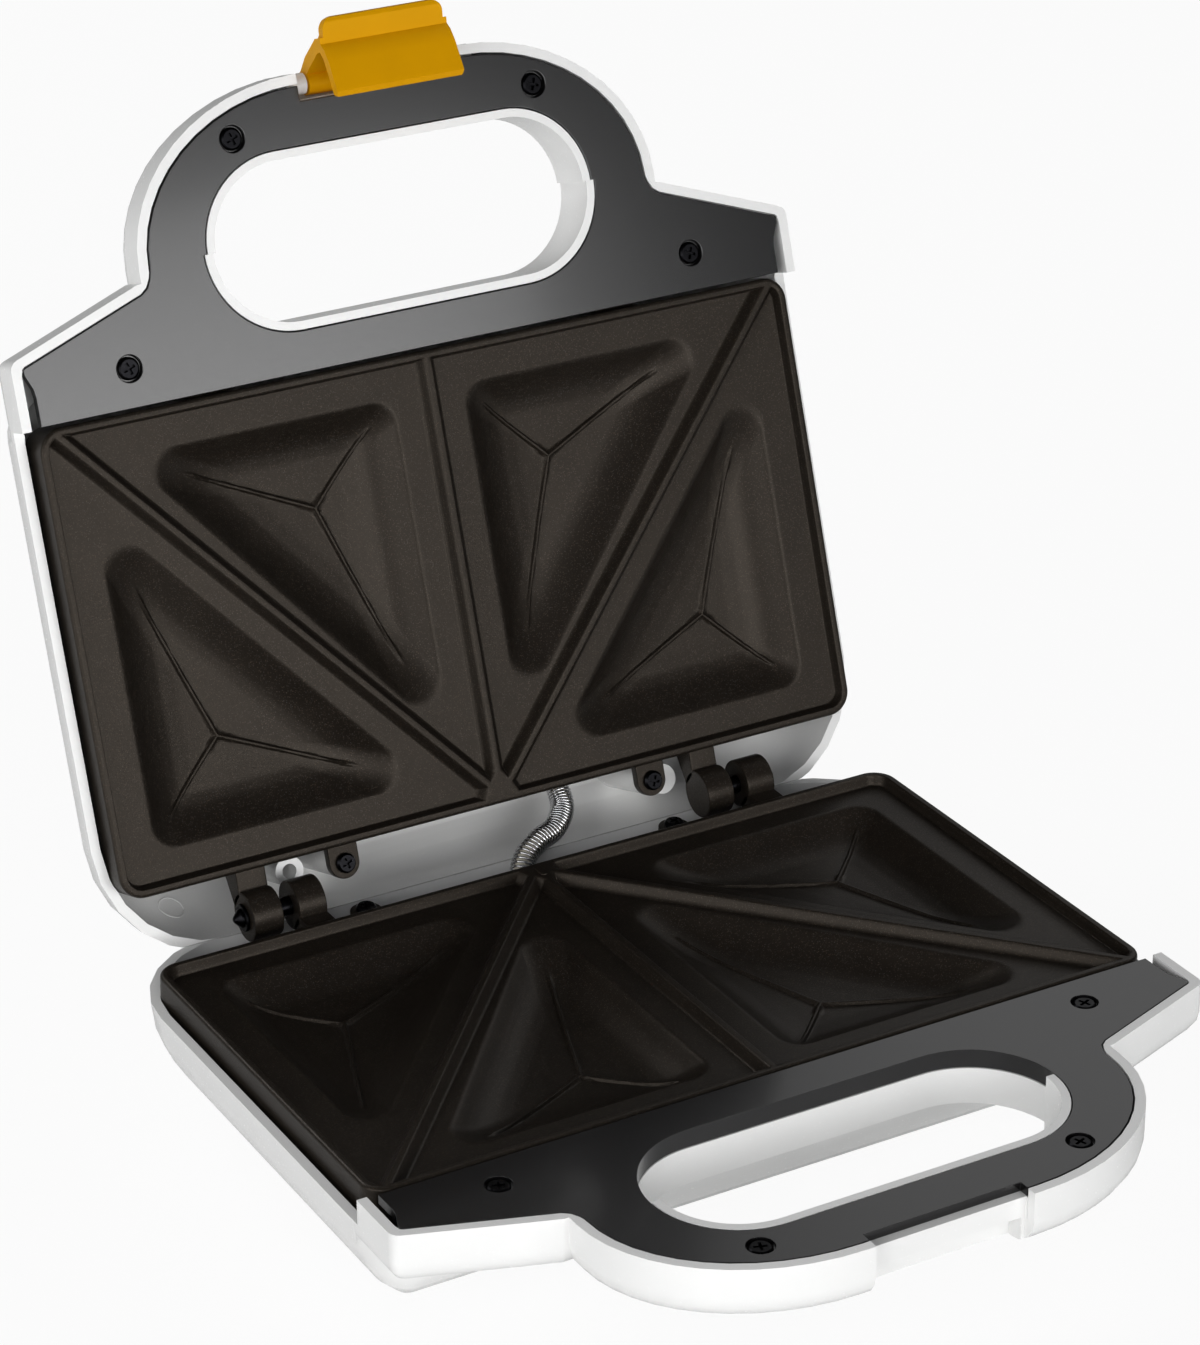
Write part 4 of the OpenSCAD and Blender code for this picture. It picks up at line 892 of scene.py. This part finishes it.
def add_fittings(bm):
    """Adds the plate's hinge knuckles, screw lugs, tongues and bosses."""
    for x, w in KNUCKLES:
        knuckle = disc_outline(HINGE_Y, HINGE_Z, KNUCKLE_R, 56)
        for outline in (knuckle, ARM):
            merge_into(bm, prism(outline, x - w / 2, x + w / 2, "x", KNUCKLE_EDGE))
    for side in (-1, 1):
        x = side * LUG_X
        lug = disc_outline(x, LUG_Y, LUG_R, 28, 0, 180) + [(x - LUG_R, -SEAT), (x + LUG_R, -SEAT)]
        merge_into(bm, prism(lug, LUG_TOP - LUG_THICK, LUG_TOP, "z", FITTING_EDGE))
        x, back, front = side * TONGUE_X, -PLATE_D + SEAT, -PLATE_D - TONGUE_REACH
        tongue = [
            (x - TONGUE_HALF, back), (x - TONGUE_HALF, front), (x + TONGUE_HALF, front),
            (x + TONGUE_HALF, back),
        ]
        merge_into(bm, prism(tongue, *TONGUE_Z, "z", FITTING_EDGE))
    for y in BOSS_SPOTS:
        boss = disc_outline(0, -y, BOSS_R, 32)
        merge_into(
            bm, prism(boss, -PLATE_WALL - BOSS_REACH, LAND - BOSS_SINK, "z", BOSS_EDGE)
        )


def wall_down(bm, z):
    """Draws a mesh's open edges straight down to z."""
    rim = [e for e in bm.edges if len(e.link_faces) == 1]
    made = bmesh.ops.extrude_edge_only(bm, edges=rim)["geom"]
    for v in made:
        if isinstance(v, bmesh.types.BMVert):
            v.co.z = z


class ToasterPlates(bpy.types.Operator):
    """Adds the two cast plates with their pockets, ridges and hinge knuckles"""

    bl_idname = "toaster.plates"
    bl_label = "Cast plates"

    def execute(self, context):
        for half in HALVES:
            bm = plate_mesh()
            if half == "lower":
                back, front = PILL_ENDS
                pill = disc_outline(0, back, PILL_R, 12, 0, 180)
                pill += disc_outline(0, front, PILL_R, 12, 180, 180)
                merge_into(bm, prism(pill, -SEAT, PILL_TOP, "z", PILL_EDGE))
            if half == "upper":
                bmesh.ops.scale(bm, vec=(-1, 1, 1), verts=bm.verts)
                bmesh.ops.reverse_faces(bm, faces=bm.faces)
            keep_half_piece(
                bm, f"{half}_plate_casting", half, "ptfe", [f"{half}_plate"]
            )
        return {"FINISHED"}


# ---- casings, covers, latch ----
# Moulding mark on the inside of the lid casing's rear wall, as it stands open, in metres
RING_SPOT, RING_R = Vector((-0.089, 0.0895, 0.0347)), 0.0036
SCREW_EDGE = 0.00012       # rounding of the screws' heads and recesses, in metres
PIN_EDGE = 0.0003          # rounding of the pins' ends, in metres


def mark_ring(bm, centre, radius, half_width=0.0003, rise=0.0004, steps=48):
    """A fine raised ring on a mesh's own surface, as an ejector pin leaves in a moulding."""
    skin = BVHTree.FromBMesh(bm)
    spot, normal, *_ = skin.find_nearest(centre)
    first = normal.orthogonal().normalized()
    second = normal.cross(first)
    rows = []
    for angle in np.linspace(0, 2 * math.pi, steps, endpoint=False):
        away = math.cos(angle) * first + math.sin(angle) * second
        point, up, *_ = skin.find_nearest(spot + away * radius)
        rows.append([
            bm.verts.new(point + away * side * half_width + up * height)
            for side, height in ((-1, -rise), (0, rise), (1, -rise))
        ])
    for row, after in zip(rows, rows[1:] + rows[:1]):
        for i in range(3):
            j = (i + 1) % 3
            bm.faces.new((row[i], after[i], after[j], row[j])).smooth = True


class ToasterCasings(bpy.types.Operator):
    """Adds the two moulded casings with their loop handles"""

    bl_idname = "toaster.casings"
    bl_label = "Casings"

    def execute(self, context):
        for half in HALVES:
            casing = soft_copy(f"{half}_shell", f"{half}_casing", "white_abs",
                               sizes().casing_edge)
            if half == "upper":
                amend(casing, lambda bm: mark_ring(bm, RING_SPOT, RING_R))
        return {"FINISHED"}


class ToasterCovers(bpy.types.Operator):
    """Adds the black covers of the loop handles"""

    bl_idname = "toaster.handle_covers"
    bl_label = "Handle covers"

    def execute(self, context):
        for half in HALVES:
            soft_copy(f"{half}_handle_cover", f"{half}_cover", "black_abs",
                      sizes().cover_edge, 3)
        return {"FINISHED"}


class ToasterLatch(bpy.types.Operator):
    """Adds the latch clip on its pin"""

    bl_idname = "toaster.latch"
    bl_label = "Latch clip"

    def execute(self, context):
        soft_copy("latch_clip", "latch_clip_moulding", "acetal", sizes().latch_edge, 3)
        return {"FINISHED"}


class ToasterScrews(bpy.types.Operator):
    """Adds the screws with crisp edges round their cross recesses"""

    bl_idname = "toaster.screws"
    bl_label = "Screws"

    def execute(self, context):
        for half in HALVES:
            for kind, slot, name in (
                ("cover_screws", "dark_screw", "black_steel"),
                ("plate_screws", "dark_screw", "black_steel"),
                ("shield_screws", "steel_screw", "zinc_steel"),
            ):
                soft_copy(f"{half}_{kind}", f"{half}_{kind}_cut", name, SCREW_EDGE)
        soft_copy("cord_clamp_screws", "cord_clamp_screws_cut", "zinc_steel",
                  SCREW_EDGE)
        return {"FINISHED"}


# ---- the link lead in its spring ----
# Centreline of the lead, from inside the lid casing, as it stands open, down into the base casing
LINK_POINTS = np.array(
    [(25, 34.7, 9), (24.5, 30.6, 3.5), (23, 24.8, -0.6), (16.8, 18.4, -2.4), (10, 15.2, -3),
     (4.5, 12.4, -5.4), (1.2, 9, -10), (-0.5, 5.5, -16), (-1.2, 1, -21)], float
)
SPRING_R, LEAD_R = 3.3, 2.1
SPRING_SHORT = 1.5         # the spring's turns take up the route less this length
CROSSWISE = (0.6, -0.6, 0.5)  # a direction that the lead never runs in
TURN_STEPS, WIRE_SIDES, LEAD_STEPS, LEAD_SIDES = 18, 8, 90, 20
# A tube's rounded rim: how far out each ring lies, and its size, as shares of the radius
TUBE_RIM = ((0.35, 0.55), (0.12, 0.9))


def smooth_route(points, samples):
    """Points at equal steps on a smooth line through the given points, and its length."""
    padded = np.vstack([2 * points[0] - points[1], points, 2 * points[-1] - points[-2]])
    fine = []
    for k in range(len(points) - 1):
        a, b, c, d = padded[k : k + 4]
        for t in np.linspace(0, 1, 40, endpoint=False):
            fine.append(0.5 * (2 * b + (c - a) * t + (2 * a - 5 * b + 4 * c - d) * t**2
                               + (3 * b - a - 3 * c + d) * t**3))
    fine.append(points[-1])
    fine = np.array(fine)
    length = np.concatenate([[0], np.cumsum(np.linalg.norm(np.diff(fine, axis=0), axis=1))])
    at = np.linspace(0, length[-1], samples)
    return np.array([np.interp(at, length, fine[:, i]) for i in range(3)]).T, length[-1]


def cross_axes(route):
    """Two cross axes at each point of a route."""
    along = np.gradient(route, axis=0)
    along /= np.linalg.norm(along, axis=1)[:, None]
    first = np.cross(along, CROSSWISE)
    first /= np.linalg.norm(first, axis=1)[:, None]
    return first, np.cross(along, first)


def tube(route, radius, sides):
    """A closed round tube along a route, with a rounded rim at each end."""
    first, second = cross_axes(route)
    along = np.cross(first, second)
    stations = [(0, -out, size) for out, size in TUBE_RIM]
    stations += [(k, 0, 1) for k in range(len(route))]
    stations += [(len(route) - 1, out, size) for out, size in TUBE_RIM[::-1]]
    bm = bmesh.new()
    rings = []
    for k, out, size in stations:
        centre = route[k] + along[k] * out * radius
        ring = []
        for a in np.linspace(0, 2 * math.pi, sides, endpoint=False):
            away = math.cos(a) * first[k] + math.sin(a) * second[k]
            ring.append(bm.verts.new(centre + radius * size * away))
        rings.append(ring)
    for low, high in zip(rings, rings[1:]):
        for i in range(sides):
            j = (i + 1) % sides
            bm.faces.new((low[i], low[j], high[j], high[i]))
    bm.faces.new(rings[0][::-1])
    bm.faces.new(rings[-1])
    bmesh.ops.recalc_face_normals(bm, faces=bm.faces)
    return bm


class ToasterLinkLead(bpy.types.Operator):
    """Adds the lead that links the halves, in its close-wound spring"""

    bl_idname = "toaster.link_lead"
    bl_label = "Link lead"

    def execute(self, context):
        pitch, wire = sizes().spring_pitch / MM, sizes().spring_wire / MM
        _, length = smooth_route(LINK_POINTS, 2)
        turns = int((length - SPRING_SHORT) / pitch)
        route, _ = smooth_route(LINK_POINTS, turns * TURN_STEPS + 1)
        first, second = cross_axes(route)
        angle = np.arange(len(route)) * 2 * math.pi / TURN_STEPS
        helix = route + (SPRING_R - wire / 2) * (
            np.cos(angle)[:, None] * first + np.sin(angle)[:, None] * second
        )
        lead_route, _ = smooth_route(LINK_POINTS, LEAD_STEPS)
        for bm, name, slot, look, node in (
            (tube(helix, wire / 2, WIRE_SIDES), "close_wound_spring", "spring", "spring_wire",
             "spring_sheath"),
            (tube(lead_route, LEAD_R, LEAD_SIDES), "sleeved_link_lead", "lead", "glass_sleeve",
             "link_lead"),
        ):
            bm.transform(BASE)
            piece = keep_piece(bm, name, look, [node], None, smooth=60, weighted=False)
            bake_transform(piece)
        return {"FINISHED"}


# ---- hinge pins, base and lid details ----
# Collar that stops a pin at the outer knuckle: radius, where it starts and ends past the
# knuckle's face, and rounding
COLLAR_R, COLLAR_SPAN, COLLAR_EDGE = 3.7, (0.12, 0.95), 0.25


class ToasterPins(bpy.types.Operator):
    """Adds the hinge pins and the latch pin with softened ends"""

    bl_idname = "toaster.pins"
    bl_label = "Pins"

    def execute(self, context):
        face = OUTER_KNUCKLE[0] + OUTER_KNUCKLE[1] / 2
        for side, way in (("left", -1), ("right", 1)):
            pin = soft_copy(f"hinge_pin_{side}", f"hinge_pin_{side}_turned", "black_steel",
                            PIN_EDGE)
            low, high = (way * (face + out) for out in COLLAR_SPAN)
            ring = disc_outline(HINGE_Y, HINGE_Z, COLLAR_R)
            collar = prism(ring, low, high, "x", COLLAR_EDGE)
            collar.transform(BASE)
            amend(pin, lambda bm: merge_into(bm, collar))
        soft_copy("latch_pin", "latch_pin_turned", "zinc_steel", PIN_EDGE)
        return {"FINISHED"}


# Node, slot, finish, and rounding of the edges in metres. With none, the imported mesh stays.
SMALL_PIECES = (
    ("rubber_feet", "foot", "rubber", 0.0005),
    ("cord_gland", "gland", "black_nylon", 0.0005),
    ("cord_clamp", "insulator", "nylon", 0.0004),
    ("terminal_block", "insulator", "nylon", 0.0003),
    ("lower_wiring", "wire", "glass_sleeve", 0),
    ("upper_wiring", "wire", "glass_sleeve", 0),
    ("lower_heating_element", "element", "element_steel", 0.0002),
    ("upper_heating_element", "element", "element_steel", 0.0002),
    ("lower_heat_shield", "reflector", "bright_aluminium", 0.0002),
    ("upper_heat_shield", "reflector", "bright_aluminium", 0.0002),
    ("thermostat", "thermostat", "ceramic", 0.0003),
    ("thermal_fuse", "fuse", "glass_sleeve", 0.0002),
    ("lamp_board", "board", "laminate", 0.0002),
    ("power_lamp", "neon", "neon_glass", 0.0003),
    ("ready_lamp", "neon", "neon_glass", 0.0003),
    ("power_lens", "lens_red", "red_lens", 0.0004),
    ("ready_lens", "lens_green", "green_lens", 0.0004),
)


class ToasterSmallPieces(bpy.types.Operator):
    """Adds the feet, gland, clamp, terminals, lamps and heating parts"""

    bl_idname = "toaster.small_pieces"
    bl_label = "Small pieces"

    def execute(self, context):
        for node, slot, look, edge in SMALL_PIECES:
            if edge:
                soft_copy(node, f"{node}_piece", look, edge)
            else:
                data = frame["nodes"][node].data
                data.materials.clear()
                data.materials.append(finish(look))
        return {"FINISHED"}


# ---- stage ----
FLOOR_WHITE = 0.93         # share of the floor that the camera sees as plain white
GLOSS_WHITE = 0.02         # share of the white background that shows in a reflection
FIBRE_MM = 3               # size of the clouds of fibre in the floor's paper


def background_seen(tree):
    """How much of the plain white background a ray sees: all through the lens and through clear
    pieces, and a small share in a reflection."""
    path = add(tree, "ShaderNodeLightPath").outputs
    gloss = add(
        tree, "ShaderNodeMath", {1: GLOSS_WHITE}, {0: path["Is Glossy Ray"]}, operation="MULTIPLY"
    )
    clear = add(
        tree, "ShaderNodeMath", links={0: path["Is Camera Ray"], 1: path["Is Transmission Ray"]},
        operation="MAXIMUM",
    )
    both = add(
        tree, "ShaderNodeMath", links={0: gloss.outputs[0], 1: clear.outputs[0]},
        operation="MAXIMUM",
    )
    return both.outputs[0]


def floor_material():
    """Pale paper sweep: it reads white to the camera and keeps the toaster's soft shadow."""
    material, tree, place = start_material("pale_paper")
    pale = tuple(colours().floor)
    fibre = add(
        tree, "ShaderNodeTexNoise", {"Scale": 1 / FIBRE_MM, "Detail": 4}, {"Vector": place}
    ).outputs["Fac"]
    paper = add(
        tree, "ShaderNodeBsdfPrincipled", {"Roughness": 0.9, "Specular IOR Level": 0.1},
        {"Base Color": vary(tree, fibre, shade(pale, 0.995), pale)},
    )
    white = add(tree, "ShaderNodeEmission", {"Color": (1, 1, 1, 1), "Strength": 1.0})
    seen = add(
        tree, "ShaderNodeMath", {1: FLOOR_WHITE}, {0: background_seen(tree)}, operation="MULTIPLY"
    )
    mix = add(
        tree, "ShaderNodeMixShader",
        links={0: seen.outputs[0], 1: paper.outputs[0], 2: white.outputs[0]},
    )
    add(tree, "ShaderNodeOutputMaterial", links={"Surface": mix.outputs[0]})
    return material


# The room's own light is dim, and dimmest behind the toaster, which its glossy faces mirror.
# It falls from the first to the second between these two shares of the way back.
ROOM_FRONT, ROOM_BACK, ROOM_FALL = 0.08, 0.03, (-0.1, 0.75)
LIGHT_AIM = Vector((0, 0.03, 0.12))
# Softboxes: name, azimuth and elevation round the toaster in degrees, distance and size in
# metres, and how bright the panel is beside a white surface in plain light
SOFTBOXES = (
    ("front_softbox", 4, 10, 1.5, (1.4, 0.5), 5.5),
    ("left_softbox", -66, 12, 1.6, (1.4, 0.95), 3.0),
    ("camera_fill", -29, 27, 1.8, (0.8, 0.5), 1.8),
    ("right_reflector", 121, 32, 1.5, (1.2, 0.9), 0.75),
    ("rear_softbox", -158, 40, 1.8, (1.0, 0.8), 3.6),
)


def direction(azimuth, elevation):
    """The way out from the toaster at an azimuth, 0 in front, and an elevation, in degrees."""
    a, e = math.radians(azimuth), math.radians(elevation)
    return Vector((math.sin(a) * math.cos(e), -math.cos(a) * math.cos(e), math.sin(e)))


def softbox(name, azimuth, elevation, away, size, radiance):
    """A rectangular soft lamp that faces the toaster."""
    out = direction(azimuth, elevation)
    data = bpy.data.lights.new(name, "AREA")
    data.shape = "RECTANGLE"
    data.size, data.size_y = size
    data.energy = radiance * math.pi * size[0] * size[1]
    lamp = put_object(name, data)
    lamp.location = LIGHT_AIM + out * away
    lamp.rotation_euler = (-out).to_track_quat("-Z", "Y").to_euler()


# Camera: where it stands and looks, in degrees and metres, and its lens in the image's pixels
CAMERA_AZIMUTH, CAMERA_ELEVATION, CAMERA_ROLL = -28.892, 24.263, -0.811
CAMERA_TARGET = Vector((-0.008281, 0.024048, 0.136392))
CAMERA_DISTANCE = 1.05745
FOCAL_PIXELS, PRINCIPAL = 4259.9, (556.99, 578.20)
IMAGE_W, IMAGE_H = 1200, 1345
SENSOR = 36                # in millimetres
FLOOR_HALF = 3.0           # half the floor's side, in metres


def add_floor():
    """Lays the pale paper sweep under the toaster."""
    bm = bmesh.new()
    bmesh.ops.create_grid(bm, x_segments=24, y_segments=24, size=FLOOR_HALF)
    mesh = bpy.data.meshes.new("studio_floor")
    bm.to_mesh(mesh)
    bm.free()
    mesh.materials.append(floor_material())
    put_object("studio_floor", mesh)


def studio_world():
    """A dim room behind the lamps, whose background reads plain white."""
    world = bpy.data.worlds.new("studio")
    world.use_nodes = True
    tree = world.node_tree
    tree.nodes.clear()
    place = add(tree, "ShaderNodeTexCoord").outputs["Generated"]
    back = add(tree, "ShaderNodeSeparateXYZ", links={0: place}).outputs["Y"]
    light = add(
        tree, "ShaderNodeBackground", {"Color": linear("F4F7FC")},
        {"Strength": vary(tree, back, ROOM_FRONT, ROOM_BACK, ROOM_FALL)},
    )
    white = add(tree, "ShaderNodeBackground", {"Color": (1, 1, 1, 1), "Strength": 1.0})
    mix = add(
        tree, "ShaderNodeMixShader",
        links={0: background_seen(tree), 1: light.outputs[0], 2: white.outputs[0]},
    )
    add(tree, "ShaderNodeOutputWorld", links={"Surface": mix.outputs[0]})
    return world


def studio_camera():
    """The camera at the fitted place, with its roll and its off-centre lens."""
    azimuth, roll = math.radians(CAMERA_AZIMUTH), math.radians(CAMERA_ROLL)
    back = direction(CAMERA_AZIMUTH, CAMERA_ELEVATION)
    right = Vector((math.cos(azimuth), math.sin(azimuth), 0))
    up = back.cross(right)
    rolled_right = right * math.cos(roll) + up * math.sin(roll)
    rolled_up = up * math.cos(roll) - right * math.sin(roll)
    data = bpy.data.cameras.new("camera")
    data.sensor_width = SENSOR
    data.lens = FOCAL_PIXELS / IMAGE_H * SENSOR
    data.shift_x = (IMAGE_W / 2 - PRINCIPAL[0]) / IMAGE_H
    data.shift_y = (PRINCIPAL[1] - IMAGE_H / 2) / IMAGE_H
    data.clip_start, data.clip_end = 0.01, 20
    camera = put_object("camera", data)
    turn = Matrix((rolled_right, rolled_up, back)).transposed().to_4x4()
    camera.matrix_world = Matrix.Translation(CAMERA_TARGET + back * CAMERA_DISTANCE) @ turn
    return camera


class ToasterStage(bpy.types.Operator):
    """Adds the floor, the soft light and the camera"""

    bl_idname = "toaster.stage"
    bl_label = "Stage"

    def execute(self, context):
        scene = context.scene
        add_floor()
        scene.world = studio_world()
        for lamp in SOFTBOXES:
            softbox(*lamp)
        scene.camera = studio_camera()
        scene.view_settings.view_transform = "Standard"
        return {"FINISHED"}


class ToasterPanel(bpy.types.Panel):
    """Lists the toaster's pieces, sizes and colours"""

    bl_idname = "VIEW3D_PT_toaster"
    bl_label = "Sandwich toaster"
    bl_space_type = "VIEW_3D"
    bl_region_type = "UI"
    bl_category = "Toaster"

    def draw(self, context):
        for step in STEPS:
            self.layout.operator(step.bl_idname)
        for group in (context.scene.toaster_sizes, context.scene.toaster_colours):
            for key in group.__annotations__:
                self.layout.prop(group, key)


STEPS = (
    ToasterStage, ToasterPlates, ToasterCasings, ToasterCovers, ToasterLatch, ToasterScrews,
    ToasterLinkLead, ToasterPins, ToasterSmallPieces,
)
CLASSES = (ToasterSizes, ToasterColours, *STEPS, ToasterPanel)


def register():
    for item in CLASSES:
        bpy.utils.register_class(item)
    bpy.types.Scene.toaster_sizes = PointerProperty(type=ToasterSizes)
    bpy.types.Scene.toaster_colours = PointerProperty(type=ToasterColours)


def unregister():
    del bpy.types.Scene.toaster_colours
    del bpy.types.Scene.toaster_sizes
    for item in reversed(CLASSES):
        bpy.utils.unregister_class(item)


def main():
    register()
    for step in STEPS:
        group, action = step.bl_idname.split(".")
        getattr(getattr(bpy.ops, group), action)()


if __name__ == "__main__":
    main()
